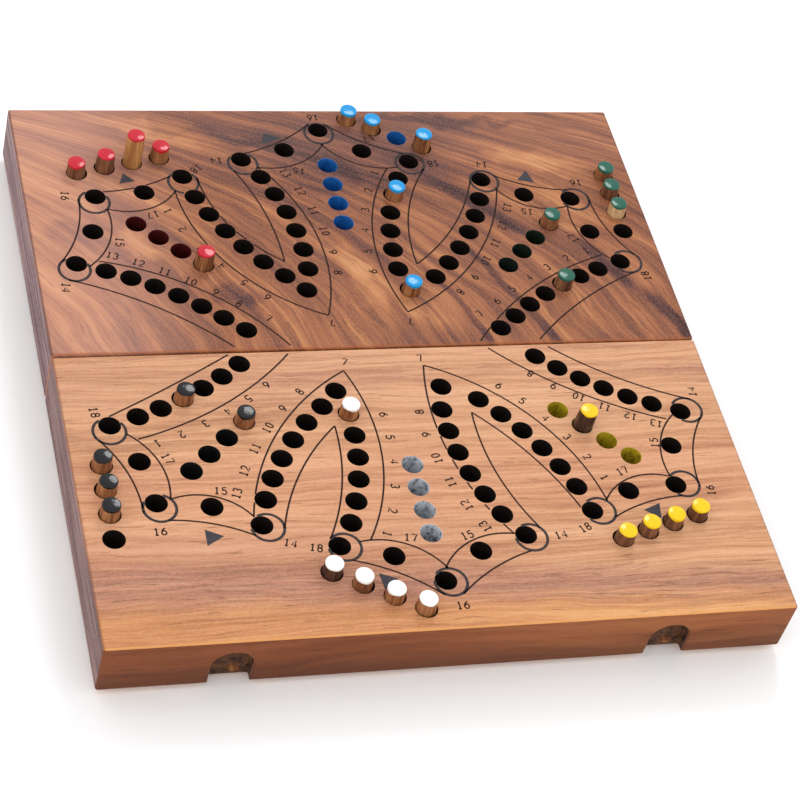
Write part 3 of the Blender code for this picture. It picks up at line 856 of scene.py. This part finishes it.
def notch_cutters(side, wood):
    """The two arched notches in the outer edge, each with a bore low in its back wall."""
    face = side * HALF_DEPTH
    wall = side * (HALF_DEPTH - NOTCH_DEPTH)
    notches = bmesh.new()
    for centre_x in (-NOTCH_AT_X, NOTCH_AT_X):
        steps = [(wall, -NOTCH_FILLET), (wall + side * NOTCH_FILLET, 0.0)]
        steps += [(face - side * NOTCH_EASE, 0.0), (face, NOTCH_EASE)]
        steps.append((face + side * THROUGH, NOTCH_EASE))
        loops = [notch_loop(centre_x, y, grow) for y, grow in steps]
        if side > 0:
            loops = [loop[::-1] for loop in loops]
        add_loft(notches, [loop[::-1] for loop in loops])
    bmesh.ops.recalc_face_normals(notches, faces=notches.faces)
    ends = sorted((wall - side * BORE_DEPTH, wall + side * THROUGH))
    profile = [(BORE_RADIUS, end) for end in ends]
    places = [(BOARD_BOTTOM + BORE_HEIGHT, x + BORE_OFFSET) for x in (-NOTCH_AT_X, NOTCH_AT_X)]
    bores = turned_object("bores", wood, profile, BORE_SIDES, *places, along="y")
    return [object_from(notches, "notches", [wood]), bores]


def screw_spots(side):
    """Where the hinge screws of one half are: hinge name, screw number, x and y."""
    spots = []
    for hinge, hinge_x in HINGES_AT_X.items():
        for number, way in enumerate((-1, 1), start=1):
            spots.append((hinge, number, hinge_x + way * SCREW_SPACING / 2, side * SCREW_AT_Y))
    return spots


def pilot_cutter(side):
    radius = SCREW_SHANK_RADIUS + 2 * RUNNING_GAP
    top = LEAF_BOTTOM + SCREW_LENGTH + 2 * RUNNING_GAP
    profile = [(radius, BOARD_BOTTOM - THROUGH), (radius, top)]
    places = [(x, y) for _, _, x, y in screw_spots(side)]
    return turned_object("pilots", BORED, profile, PILOT_SIDES, *places)


def make_half(node):
    side = SIDES[node]
    wood = WOODS[node]
    mesh = bmesh.new()
    outline = half_outline(side)
    add_loft(mesh, [[(x, y, z) for x, y in outline] for z in (BOARD_BOTTOM, BOARD_TOP)])
    bmesh.ops.bevel(
        mesh, geom=list(mesh.edges), offset=EDGE_ROUNDING, segments=4, affect="EDGES", profile=0.5
    )
    half = object_from(mesh, f"{node}_board", [wood])
    cutters = [*hole_cutters(side), well_cutter(side, wood), *notch_cutters(side, wood)]
    carve(half, [*cutters, pilot_cutter(side)])
    finish_piece(half, BOARD_SMOOTH, node, node)
    for face in half.data.polygons:
        face.use_smooth = face.area < LARGEST_SMOOTH_FACE


for half_node in SIDES:
    make_half(half_node)


# --- print on the wood ---

INK_BELOW = 0.00002
INK_ABOVE = 0.00003
LINE_WIDTH = 0.75
RING_WIDTH = 1.20
RING_RADIUS = 6.55
DIGIT_HEIGHT = 3.4
DIGIT_WIDTH = 2.1
DIGIT_STROKE = 0.62
DIGIT_GAP = 0.85
CURVE_STEPS = 90
INK_TO_HOLE = 0.15
INK_TO_SEAM = {1: 1.6, -1: 2.0}
OVERRUN = (3.0, 2.5, 2.0, 1.5, 1.0, 0.5)

# The printed design of one quarter in millimetres, mirrored into the others. The print of each half
# has its own shift and turn, and that of both middle arms lies a little to the left.
PRINT_SHIFT = {1: (-0.8, 2.6), -1: (0.8, 3.9)}
PRINT_TURN = {1: -0.14, -1: 0.11}
MIDDLE_PRINT_SHIFT = -1.95
RINGS = {
    "middle": ((0.0, 126.1), (38.5, 106.7), (-38.5, 106.7)),
    "corner": ((69.0, 95.3), (109.6, 83.5), (123.3, 44.2)),
}
# Outlines from ring to ring: first point, last point and the arc's rise.
MIDDLE_OUTLINES = (
    ((6.0, 130.1), (36.8, 113.2), -1.9),
    ((0.0, 118.6), (33.0, 104.6), -5.7),
)
CORNER_OUTLINES = (
    ((75.0, 98.6), (108.5, 89.5), -2.2),
    ((73.4, 89.9), (104.2, 79.2), -5.7),
    ((116.2, 82.3), (127.6, 49.4), -2.6),
    ((104.5, 78.2), (116.1, 46.4), -4.5),
)
# Outlines of the lanes start on an arm and end in a V or at the seam. The Vs and the rises differ
# from quarter to quarter: the V's outer and inner points, then the rises of the six lane lines.
MIDDLE_LANE_STARTS = ((29.4, 103.8), (42.6, 100.8))
CORNER_LANE_STARTS = ((73.6, 89.9), (62.2, 95.1))
SEAM_LANE_STARTS = ((112.5, 48.7), (123.7, 37.3))
LANE_START_SHIFT = {1: -2.2, -1: 1.9}
SEAM_LANE_ENDS = {-1: (-39.3, -62.5), 1: (41.4, 67.8)}
SEAM_LINE_Y = {1: 0.3, -1: 1.2}
QUARTER_LANES = {
    "red": ((-20.8, 18.4), (-33.7, 50.0), (-11.5, -3.1), (13.0, 6.0), (-8.9, -4.3)),
    "green": ((14.4, 19.4), (24.9, 47.2), (-10.8, -4.9), (10.4, 4.6), (-6.6, -3.4)),
    "black": ((-20.9, -12.6), (-30.8, -41.9), (-10.3, -3.6), (9.8, 4.0), (-6.4, -0.8)),
    "yellow": ((14.1, -10.9), (28.7, -37.3), (-8.9, -4.3), (12.5, 3.7), (-5.2, -3.3)),
}


# The numbers beside the lanes sit off from the holes in each half: shift along X, stretch along X,
# shift along Y and slope.
LABEL_FRAMES = {1: (0.6, 0.015, -1.8, 0.014), -1: (2.4, 0.0125, -0.95, 0.0148)}


def printed(point, kind, side_x, side_y):
    """A point of the printed quarter moved to its place on the board."""
    a = point[0] * side_x + (MIDDLE_PRINT_SHIFT if kind == "middle" else 0.0)
    b = point[1] * side_y
    turn = radians(PRINT_TURN[side_y])
    shift_x, shift_y = PRINT_SHIFT[side_y]
    return a * cos(turn) - b * sin(turn) + shift_x, a * sin(turn) + b * cos(turn) + shift_y


def ring_centres():
    """The middle of every printed ring, in millimetres."""
    centres = []
    for kind, side_x, side_y, _, _ in ARMS.values():
        centres += [printed(point, kind, side_x, side_y) for point in RINGS[kind]]
    return centres


def beside_hole(colour, point):
    """A hole of the template, moved to where the print takes it to be."""
    x, y = on_arm(colour, point)
    shift_x, stretch, shift_y, slope = LABEL_FRAMES[1 if y > 0 else -1]
    return x + shift_x + stretch * x, y + shift_y + slope * x


def mirrored(colour):
    """-1 on an arm whose template is a mirror image, where arcs bulge the other way."""
    _, side_x, side_y, _, _ = ARMS[colour]
    return side_x * side_y


def among(point, places, reach):
    return any(hypot(point[0] - a, point[1] - b) < reach for a, b in places)


def left_of(points, index):
    """The unit direction to the left of a run of points at one of them."""
    before = points[max(index - 1, 0)]
    after = points[min(index + 1, len(points) - 1)]
    dx, dy = after[0] - before[0], after[1] - before[1]
    length = hypot(dx, dy) or 1.0
    return -dy / length, dx / length


def with_overrun(points, rings):
    """The curve, run on a little past an end that meets a ring, so that the ring can trim it."""
    for _ in range(2):
        points = points[::-1]
        (x, y), (from_x, from_y) = points[0], points[1]
        if among(points[0], rings, RING_RADIUS + OVERRUN[0]):
            length = hypot(x - from_x, y - from_y)
            step_x, step_y = (x - from_x) / length, (y - from_y) / length
            points = [(x + step_x * run, y + step_y * run) for run in OVERRUN] + points
    return points


def outline_curves():
    """Every printed outline as a list of points on the board, in millimetres."""
    rings = ring_centres()
    curves = []

    def draw(start, end, rise):
        curves.append(with_overrun(along_arc(start, end, rise, CURVE_STEPS), rings))

    for quarter, (outer, inner, middle_rises, corner_rises, seam_rises) in QUARTER_LANES.items():
        _, side_x, side_y, _, _ = ARMS[quarter]
        way = mirrored(quarter)
        for kind, outlines in (("middle", MIDDLE_OUTLINES), ("corner", CORNER_OUTLINES)):
            for start, end, rise in outlines:
                ends = [printed(point, kind, side_x, side_y) for point in (start, end)]
                draw(*ends, rise * way)
        seam_ends = [(x, SEAM_LINE_Y[side_y]) for x in SEAM_LANE_ENDS[side_x]]
        drawn = (
            ("middle", MIDDLE_LANE_STARTS, (outer, inner), middle_rises),
            ("corner", CORNER_LANE_STARTS, (outer, inner), corner_rises),
            ("corner", SEAM_LANE_STARTS, seam_ends, seam_rises),
        )
        for kind, starts, ends, rises in drawn:
            for start, end, rise in zip(starts, ends, rises):
                x, y = printed(start, kind, side_x, side_y)
                if start == MIDDLE_LANE_STARTS[0]:
                    x += LANE_START_SHIFT[side_y]
                draw((x, y), end, rise * way)
    return curves


def clear_stretches(points, half, rings=()):
    """The parts of a curve on one half's flat top that lie over no hole and in none of the rings."""
    side = SIDES[half]
    holes = [(x / MM, y / MM) for (x, y), _ in all_holes()]
    margin = HOLE_RADIUS / MM + INK_TO_HOLE
    stretches = [[]]
    for point in points:
        blocked = point[1] * side < INK_TO_SEAM[side] or among(point, holes, margin)
        if blocked or among(point, rings, RING_RADIUS):
            stretches.append([])
        else:
            stretches[-1].append(point)
    return [stretch for stretch in stretches if len(stretch) > 1]


def add_stroke(mesh, points, width, slot):
    """Adds a ribbon of ink along the points, as a thin closed solid."""
    rows = []
    for index, (x, y) in enumerate(points):
        off_x, off_y = (part * width / 2 for part in left_of(points, index))
        row = []
        for sign, z in ((1, INK_ABOVE), (-1, INK_ABOVE), (-1, -INK_BELOW), (1, -INK_BELOW)):
            place = ((x + sign * off_x) * MM, (y + sign * off_y) * MM, BOARD_TOP + z)
            row.append(mesh.verts.new(place))
        rows.append(row)
    faces = [mesh.faces.new(rows[0][::-1]), mesh.faces.new(rows[-1])]
    for first, second in zip(rows, rows[1:]):
        for corner in range(4):
            after = (corner + 1) % 4
            faces.append(mesh.faces.new((first[corner], first[after], second[after], second[corner])))
    for face in faces:
        face.material_index = slot


def bow(centre, reach, start, end, steps=14):
    """Points on part of an ellipse, from one angle to another in degrees."""
    angles = [radians(start + (end - start) * step / steps) for step in range(steps + 1)]
    return [(centre[0] + reach[0] * cos(a), centre[1] + reach[1] * sin(a)) for a in angles]


SIX_TAIL = [(0.80, 0.97), (0.52, 0.86), (0.22, 0.62), (0.06, 0.34)]
SIX = [bow((0.5, 0.30), (0.44, 0.30), 0, 360), SIX_TAIL]
DIGITS = {  # strokes in a cell one wide and one high
    "0": [bow((0.5, 0.5), (0.42, 0.5), 0, 360)],
    "1": [[(0.22, 0.80), (0.52, 1.0), (0.52, 0.0)], [(0.20, 0.0), (0.84, 0.0)]],
    "2": [bow((0.48, 0.70), (0.42, 0.30), 165, -38) + [(0.06, 0.0), (0.95, 0.0)]],
    "3": [bow((0.45, 0.76), (0.38, 0.24), 150, -80) + bow((0.45, 0.27), (0.45, 0.27), 80, -150)],
    "4": [[(0.72, 0.0), (0.72, 1.0), (0.02, 0.30), (0.98, 0.30)]],
    "5": [[(0.86, 1.0), (0.20, 1.0), (0.14, 0.56)] + bow((0.45, 0.32), (0.46, 0.32), 120, -150)],
    "6": SIX,
    "7": [[(0.05, 1.0), (0.95, 1.0), (0.42, 0.0)]],
    "8": [bow((0.5, 0.75), (0.36, 0.25), 0, 360), bow((0.5, 0.27), (0.44, 0.27), 0, 360)],
    "9": [[(1 - x, 1 - y) for x, y in stroke] for stroke in SIX],
}


def add_number(mesh, number, place, up, slot):
    """Prints a number centred on a place, with its top towards up, both in millimetres."""
    length = hypot(*up)
    up = (up[0] / length, up[1] / length)
    right = (up[1], -up[0])
    text = str(number)
    width = len(text) * DIGIT_WIDTH + (len(text) - 1) * DIGIT_GAP
    for index, digit in enumerate(text):
        start = index * (DIGIT_WIDTH + DIGIT_GAP) - width / 2
        for stroke in DIGITS[digit]:
            points = []
            for u, v in stroke:
                a = start + u * DIGIT_WIDTH
                b = (v - 0.5) * DIGIT_HEIGHT
                x = place[0] + a * right[0] + b * up[0]
                points.append((x, place[1] + a * right[1] + b * up[1]))
            add_stroke(mesh, points, DIGIT_STROKE, slot)


# Numbers 14 to 18 beside an arm's rings and between them: places in millimetres, turns in degrees.
ARM_LABELS = {
    "green": ((69.9, 108.3, 172), (83.8, 78.2, 168), (112.3, 96.4, 178),
              (101.4, 61.5, 115), (129.2, 37.8, 95)),
    "red": ((-128.9, 36.9, -100), (-102.7, 62.5, -100), (-122.1, 90.3, -98),
            (-86.0, 78.4, 192), (-62.4, 106.2, 215)),
    "blue": ((-52.6, 111.3, 178), (-16.4, 104.7, 164), (-3.2, 138.9, 180),
             (20.3, 125.5, 200), (47.0, 109.1, 184)),
    "black": ((-60.6, -99.6, -20), (-83.4, -72.5, -10), (-110.3, -91.0, 0),
              (-101.5, -55.4, -66), (-126.9, -30.5, -84)),
    "white": ((50.1, -102.1, 8), (11.2, -100.0, 14), (1.2, -133.4, 0),
              (-12.1, -99.8, -12), (-50.9, -102.4, -15)),
    "yellow": ((129.6, -30.0, 84), (104.1, -57.1, 82), (121.1, -83.4, 84),
               (85.5, -71.2, 18), (61.2, -99.2, 20)),
}
SEVENS = (  # place and the way its top points, in millimetres
    ((-20.0, 14.0), (0.0, -1.0)), ((14.5, 14.0), (0.0, -1.0)),
    ((-19.5, -7.8), (0.35, 0.94)), ((13.5, -6.8), (-0.10, 1.0)),
    ((-46.8, 17.4), (0.57, 0.82)), ((46.0, 17.4), (-0.57, 0.82)),
)
LANE_LABEL_OFF = 12.5
LANE_LABEL_OFFS = {("red", "inner"): 14.2, ("red", "side"): 13.3, ("black", "inner"): 13.8,
                   ("yellow", "inner"): 11.0, ("green", "inner"): 11.2}
DOWN_FROM_13 = (13, 12, 11, 10, 9, 8)
UP_FROM_1 = (1, 2, 3, 4, 5, 6)
FIRST_LANES = {"blue": "left", "white": "right", "green": "inner", "black": "inner",
               "red": "side", "yellow": "side"}


def lanes(kind):
    """The lanes of one arm: name, template points from the ring inwards, and the label side."""
    if kind == "corner":
        inner = along_arc(*INNER_RUN, HOLES_IN_RUN)[::-1]
        return {"inner": (inner, 1), "side": (along_arc(*SIDE_RUN, HOLES_IN_RUN), -1)}
    right = along_arc(*MIDDLE_RUN, HOLES_IN_RUN)
    return {"right": (right, -1), "left": ([(-x, y) for x, y in right], 1)}


def lane_labels():
    """Every number beside a lane as (number, place, up), in millimetres."""
    labels = []
    for colour, (kind, _, _, _, _) in ARMS.items():
        for lane, (template, label_side) in lanes(kind).items():
            numbers = DOWN_FROM_13 if FIRST_LANES[colour] == lane else UP_FROM_1
            points = [beside_hole(colour, point) for point in template]
            way = label_side * mirrored(colour)
            off = LANE_LABEL_OFFS.get((colour, lane), LANE_LABEL_OFF)
            for index, number in enumerate(numbers):
                up = tuple(part * way for part in left_of(points, index))
                x, y = points[index]
                labels.append((number, (x + up[0] * off, y + up[1] * off), up))
    return labels


TRIANGLES = (  # corners in millimetres, anticlockwise
    ((-95.3, 103.7), (-97.7, 97.4), (-90.5, 98.9)),
    ((-28.2, 129.2), (-29.4, 122.1), (-20.3, 125.8)),
    ((90.0, 104.4), (84.4, 98.4), (92.3, 96.6)),
    ((-93.0, -91.1), (-93.2, -99.0), (-85.9, -94.7)),
    ((-28.8, -116.1), (-28.0, -124.0), (-21.5, -119.3)),
    ((88.9, -91.8), (95.3, -96.6), (96.7, -88.7)),
)


def on_half(half, place):
    return place[1] * SIDES[half] > 0


def make_print(half):
    mesh = bmesh.new()
    line, ring_slot, fill = range(3)
    rings = ring_centres()
    for curve in outline_curves():
        for stretch in clear_stretches(curve, half, rings):
            add_stroke(mesh, stretch, LINE_WIDTH, line)
    for centre in rings:
        ring = bow(centre, (RING_RADIUS, RING_RADIUS), 0, 360, CURVE_STEPS)
        for stretch in clear_stretches(ring, half):
            add_stroke(mesh, stretch, RING_WIDTH, ring_slot)
    for colour in ARMS:
        for number, (x, y, turn) in enumerate(ARM_LABELS[colour], start=14):
            if on_half(half, (x, y)):
                up = (-sin(radians(turn)), cos(radians(turn)))
                add_number(mesh, number, (x, y), up, line)
    for number, place, up in lane_labels():
        if on_half(half, place):
            add_number(mesh, number, place, up, line)
    for place, up in SEVENS:
        if on_half(half, place):
            add_number(mesh, 7, place, up, line)
    for corners in TRIANGLES:
        if on_half(half, corners[0]):
            heights = (BOARD_TOP - INK_BELOW, BOARD_TOP + INK_ABOVE)
            add_loft(mesh, [[(x * MM, y * MM, z) for x, y in corners] for z in heights], fill)
    print_piece = object_from(mesh, f"{half}_print", [LINE_INK, RING_INK, FILL_INK])
    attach(print_piece, half)


for half_node in SIDES:
    make_print(half_node)


# --- pegs ---

PEG_STEPS = 36
PAINT_LAP = 0.0012
PAINT_BUILD = 0.00002
TAPER = 0.00028
TAPER_LENGTH = 0.0062
TOP_ROUND = 0.0005
TOP_ROUND_STEPS = 5
DOME = 0.00018
FOOT_EASE = 0.0005
LAP_WAVE = 0.00030
PAINT_LIMIT = 0.0026  # every painted face lies within this of the top
DEFAULT_TONES = {"red": "brown", "blue": "amber", "green": "amber", "black": "amber",
                 "white": "amber", "yellow": "brown"}
PEG_TONES = {("red", 2): "gold", ("red", 3): "amber", ("green", 2): "pale", ("green", 1): "brown",
             ("green", 4): "brown", ("white", 0): "dark", ("yellow", 4): "dark", ("red", 4): "amber"}
PEG_LEANS = {  # how far a loose peg leans to +X and +Y for each millimetre of its height
    ("red", 0): (-0.04, 0.015), ("blue", 1): (-0.045, 0.015), ("blue", 2): (-0.045, 0.0),
    ("blue", 3): (0.035, -0.03), ("blue", 4): (0.035, -0.035), ("green", 0): (-0.03, -0.035),
    ("green", 1): (-0.045, 0.01), ("green", 2): (-0.035, 0.0), ("green", 3): (0.03, 0.035),
    ("green", 4): (0.045, 0.0), ("black", 1): (0.035, -0.03), ("black", 4): (0.045, 0.0),
    ("white", 1): (-0.045, 0.0), ("white", 2): (-0.035, -0.03), ("white", 3): (-0.02, 0.03),
    ("yellow", 0): (0.03, -0.03), ("yellow", 4): (0.038, -0.008),
}


def make_peg(colour, which):
    """A turned dowel in its hole, with paint over its top that laps unevenly down its side."""
    node = f"{colour}_peg_{which + 1}"
    x, y = peg_place(colour, which)
    seat = PEG_SEAT + RAISED_PEGS.get(colour, {}).get(which, 0.0) * MM
    top = seat + PEG_LENGTH
    pivot = (seat + BOARD_TOP) / 2
    lean_x, lean_y = PEG_LEANS.get((colour, which), (0.0, 0.0))
    seed = 1.7 * which + 2.3 * len(colour) + ord(colour[0])
    narrow = PEG_RADIUS - TAPER
    profile = [  # radius, height and how far the lap's waves move it
        (PEG_RADIUS - FOOT_EASE, seat, 0.0),
        (PEG_RADIUS, seat + FOOT_EASE, 0.0),
        (PEG_RADIUS, top - TAPER_LENGTH, 0.0),
        (narrow, top - PAINT_LAP, 1.0),
        (narrow + PAINT_BUILD, top - PAINT_LAP, 1.0),
    ]
    for step in range(TOP_ROUND_STEPS + 1):
        angle = pi / 2 * step / TOP_ROUND_STEPS
        radius = narrow + PAINT_BUILD - TOP_ROUND * (1 - cos(angle))
        profile.append((radius, top - DOME - TOP_ROUND * (1 - sin(angle)), 0.0))
    profile += [(0.6 * PEG_RADIUS, top - 0.35 * DOME, 0.0), (0.2 * PEG_RADIUS, top, 0.0)]
    loops = []
    for radius, z, wave in profile:
        loop = []
        for step in range(PEG_STEPS):
            angle = 2 * pi * step / PEG_STEPS
            ripple = sin(angle + seed) + 0.6 * sin(2 * angle + 2.1 * seed)
            ripple += 0.35 * sin(5 * angle + 3.7 * seed)
            height = z + wave * LAP_WAVE * ripple
            along = height - pivot
            a = x + radius * cos(angle) + lean_x * along
            loop.append((a, y + radius * sin(angle) + lean_y * along, height))
        loops.append(loop)
    mesh = bmesh.new()
    add_loft(mesh, loops)
    for face in mesh.faces:
        if min(vertex.co.z for vertex in face.verts) > top - PAINT_LIMIT:
            face.material_index = 1
    tone = PEG_TONES.get((colour, which), DEFAULT_TONES[colour])
    peg = object_from(mesh, f"{node}_turned", [DOWELS[tone], PEG_PAINTS[colour]])
    finish_piece(peg, ROUND_SMOOTH, node, node)


for peg_colour, peg_places in PEG_PLACES.items():
    for peg_index in range(len(peg_places)):
        make_peg(peg_colour, peg_index)


# --- hinges, screws and feet ---

AXIS = (0.0, AXIS_HEIGHT)
LEAF_EASE = 0.00012
LEAF_CORNER = 0.0009
TONGUE_START = 0.1 * MM
TONGUE_OVERLAP = 0.8 * MM
TONGUE_INSET = 0.00002
KNUCKLE_EASE = 0.0001
PIN_EASE = 0.0002
HEAD_EASE = 0.00012
RECESS_REACH = 0.0011
RECESS_WIDTH = 0.00042
RECESS_DEPTH = 0.0006
FOOT_RIM = 0.0007
FOOT_RIM_STEPS = 6
FOOT_SIDES = 36
SCREW_SIDES = 28
PIN_SIDES = 20


def knuckle_spans(hinge_x, side):
    """The stretches of barrel that belong to one leaf: two outer ones in front, one behind."""
    third = HINGE_LENGTH / 3
    start = hinge_x - HINGE_LENGTH / 2
    if side > 0:
        return [(start + third + KNUCKLE_GAP, start + 2 * third - KNUCKLE_GAP)]
    return [(start, start + third), (start + 2 * third, start + 3 * third)]


def rod_profile(radius, start, end, eased):
    """A rod with both its ends eased."""
    profile = [(radius - eased, start), (radius, start + eased)]
    return [*profile, (radius, end - eased), (radius - eased, end)]


def make_leaf(hinge, side, body):
    """A hinge leaf with eased edges, rolled knuckles and countersunk screw seats."""
    hinge_x = HINGES_AT_X[hinge]
    half_length = HINGE_LENGTH / 2
    clear = KNUCKLE_RADIUS + KNUCKLE_GAP
    node = f"hinge_{hinge}_{'back' if side > 0 else 'front'}_leaf"
    near, far = sorted((side * clear, side * LEAF_WIDTH))
    low = (hinge_x - half_length, near)
    outline = rounded_corners(low, (hinge_x + half_length, far), LEAF_CORNER)
    mesh = bmesh.new()
    loops = []
    for inset, z in ((LEAF_EASE, LEAF_BOTTOM), (0, LEAF_BOTTOM + LEAF_EASE), (0, LEAF_TOP)):
        scale_x = 1 - inset / half_length
        scale_y = 1 - 2 * inset / (far - near)
        middle_y = (near + far) / 2
        loop = [(hinge_x + (a - hinge_x) * scale_x, middle_y + (b - middle_y) * scale_y, z)
                for a, b in outline]
        loops.append(loop)
    add_loft(mesh, loops)
    leaf = object_from(mesh, f"{node}_stamped", [BRASS])
    pieces = []
    for start, end in knuckle_spans(hinge_x, side):
        inner, outer = sorted((side * TONGUE_START, side * (clear + TONGUE_OVERLAP)))
        low, high = LEAF_BOTTOM + TONGUE_INSET, LEAF_TOP - TONGUE_INSET
        pieces.append(box_object("tongue", BRASS, (start, inner, low), (end, outer, high)))
        barrel = rod_profile(KNUCKLE_RADIUS, start, end, KNUCKLE_EASE)
        pieces.append(turned_object("knuckle", BRASS, barrel, SCREW_SIDES, AXIS, along="x"))
    carve(leaf, pieces, "UNION")
    reach = half_length + THROUGH
    profile = [(PIN_HOLE_RADIUS, end) for end in (hinge_x - reach, hinge_x + reach)]
    bore = turned_object("bore", BRASS, profile, PIN_SIDES, AXIS, along="x")
    seat = [
        (SCREW_HEAD_RADIUS + RUNNING_GAP, LEAF_BOTTOM - THROUGH),
        (SCREW_HEAD_RADIUS + RUNNING_GAP, LEAF_BOTTOM),
        (SCREW_SHANK_RADIUS + RUNNING_GAP, LEAF_TOP),
        (SCREW_SHANK_RADIUS + RUNNING_GAP, LEAF_TOP + THROUGH),
    ]
    places = [(x, y) for spot_hinge, _, x, y in screw_spots(side) if spot_hinge == hinge]
    carve(leaf, [bore, turned_object("seats", BRASS, seat, SCREW_SIDES, *places)])
    finish_piece(leaf, METAL_SMOOTH, body, node)


def make_pin(hinge, body):
    """The hinge pin, with its rounded ends."""
    hinge_x = HINGES_AT_X[hinge]
    ends = (hinge_x - HINGE_LENGTH / 2, hinge_x + HINGE_LENGTH / 2)
    profile = rod_profile(PIN_RADIUS, *ends, PIN_EASE)
    pin = turned_object(f"hinge_{hinge}_pin_drawn", STEEL, profile, PIN_SIDES, AXIS, along="x")
    finish_piece(pin, ROUND_SMOOTH, body, f"hinge_{hinge}_pin")


def make_screw(node, x, y, body):
    """A countersunk screw with a cross recess in its head."""
    profile = [
        (SCREW_HEAD_RADIUS - HEAD_EASE, LEAF_BOTTOM),
        (SCREW_HEAD_RADIUS, LEAF_BOTTOM + HEAD_EASE),
        (SCREW_SHANK_RADIUS, LEAF_TOP),
        (SCREW_SHANK_RADIUS, LEAF_BOTTOM + 0.8 * SCREW_LENGTH),
        (0.3 * SCREW_SHANK_RADIUS, LEAF_BOTTOM + SCREW_LENGTH),
    ]
    screw = turned_object(f"{node}_cut", BRASS, profile, SCREW_SIDES, (x, y))
    recesses = []
    for a, b in ((RECESS_REACH, RECESS_WIDTH / 2), (RECESS_WIDTH / 2, RECESS_REACH)):
        low = (x - a, y - b, LEAF_BOTTOM - THROUGH)
        high = (x + a, y + b, LEAF_BOTTOM + RECESS_DEPTH)
        recesses.append(box_object("recess", BRASS, low, high))
    carve(screw, recesses)
    finish_piece(screw, METAL_SMOOTH, body, node)


def make_foot(node, x, y, body):
    """A rubber bumper with a rounded rim and a shallow dish in its face."""
    profile = [(0.30 * FOOT_RADIUS, 0.00035), (0.62 * FOOT_RADIUS, 0.00015)]
    profile.append((0.74 * FOOT_RADIUS, 0.0))
    for step in range(1, FOOT_RIM_STEPS + 1):
        angle = pi / 2 * step / FOOT_RIM_STEPS
        radius = 0.92 * FOOT_RADIUS - FOOT_RIM * (1 - sin(angle))
        profile.append((radius, FOOT_RIM * (1 - cos(angle))))
    profile += [(FOOT_RADIUS, 0.75 * FOOT_HEIGHT), (FOOT_RADIUS, FOOT_HEIGHT)]
    foot = turned_object(f"{node}_moulded", RUBBER, profile, FOOT_SIDES, (x, y))
    finish_piece(foot, ROUND_SMOOTH, body, node)


for half_node, half_side in SIDES.items():
    side_name = half_node.split("_")[0]
    for hinge_name in HINGES_AT_X:
        make_leaf(hinge_name, half_side, half_node)
        if half_side < 0:
            make_pin(hinge_name, half_node)
    for hinge_name, screw_number, screw_x, screw_y in screw_spots(half_side):
        screw_node = f"hinge_{hinge_name}_{side_name}_screw_{screw_number}"
        make_screw(screw_node, screw_x, screw_y, half_node)
    feet_y = BACK_FEET_AT_Y if half_side > 0 else FRONT_FEET_AT_Y
    feet = [(x, half_side * y) for y in feet_y for x in (-FEET_AT_X, FEET_AT_X)]
    for foot_number, (foot_x, foot_y) in enumerate(feet, start=1):
        make_foot(f"{side_name}_foot_{foot_number}", foot_x, foot_y, half_node)


# --- floor, light and camera ---

FLOOR_REACH = 6.0
WORLD_STRENGTH = 1.12
CAMERA_PLACE = (-0.3038, -0.6529, 0.7675)
CAMERA_HEADING = 25.95  # degrees to the right of +Y
CAMERA_DOWN = 46.79
CAMERA_ROLL = 17.64
CAMERA_LENS = 111.24


def make_floor():
    mesh = bmesh.new()
    reach = FLOOR_REACH
    corners = [(-reach, -reach, 0.0), (reach, -reach, 0.0), (reach, reach, 0.0), (-reach, reach, 0.0)]
    mesh.faces.new([mesh.verts.new(corner) for corner in corners])
    f = Finish("floor_paper", Roughness=0.8, Specular_IOR_Level=0.2)
    f.colour((0.94, 0.94, 0.94))
    floor = object_from(mesh, "studio_floor", [f.material])


def make_light(name, place, aim, size, power):
    data = bpy.data.lights.new(name, "AREA")
    data.shape = "DISK"
    data.size = size
    data.energy = power
    light = bpy.data.objects.new(name, data)
    light.location = place
    direction = Vector(aim) - Vector(place)
    light.rotation_euler = direction.to_track_quat("-Z", "Y").to_euler()
    bpy.context.scene.collection.objects.link(light)


def make_world():
    world = bpy.data.worlds.new("studio")
    world.use_nodes = True
    background = world.node_tree.nodes["Background"]
    background.inputs["Color"].default_value = (1.0, 1.0, 1.0, 1.0)
    background.inputs["Strength"].default_value = WORLD_STRENGTH
    bpy.context.scene.world = world


def make_camera():
    data = bpy.data.cameras.new("camera")
    data.lens = CAMERA_LENS
    data.sensor_width = 36.0
    data.clip_end = 20.0
    heading, down, roll = (radians(a) for a in (CAMERA_HEADING, CAMERA_DOWN, CAMERA_ROLL))
    forward = Vector((sin(heading) * cos(down), cos(heading) * cos(down), -sin(down)))
    level = Vector((cos(heading), -sin(heading), 0.0))
    rise = level.cross(forward)
    right = level * cos(roll) + rise * sin(roll)
    up = rise * cos(roll) - level * sin(roll)
    turn = Matrix((right, up, -forward)).transposed()
    camera = bpy.data.objects.new("camera", data)
    camera.matrix_world = Matrix.Translation(CAMERA_PLACE) @ turn.to_4x4()
    bpy.context.scene.collection.objects.link(camera)
    bpy.context.scene.camera = camera


make_floor()
make_world()
make_light("key", (0.40, 0.95, 1.15), (0.0, 0.0, 0.0), 0.40, 4.2)
make_light("fill", (-0.90, -0.60, 0.90), (0.0, 0.0, 0.0), 1.0, 1.2)
make_camera()
bpy.context.scene.view_settings.view_transform = "Standard"

bpy.context.view_layer.update()
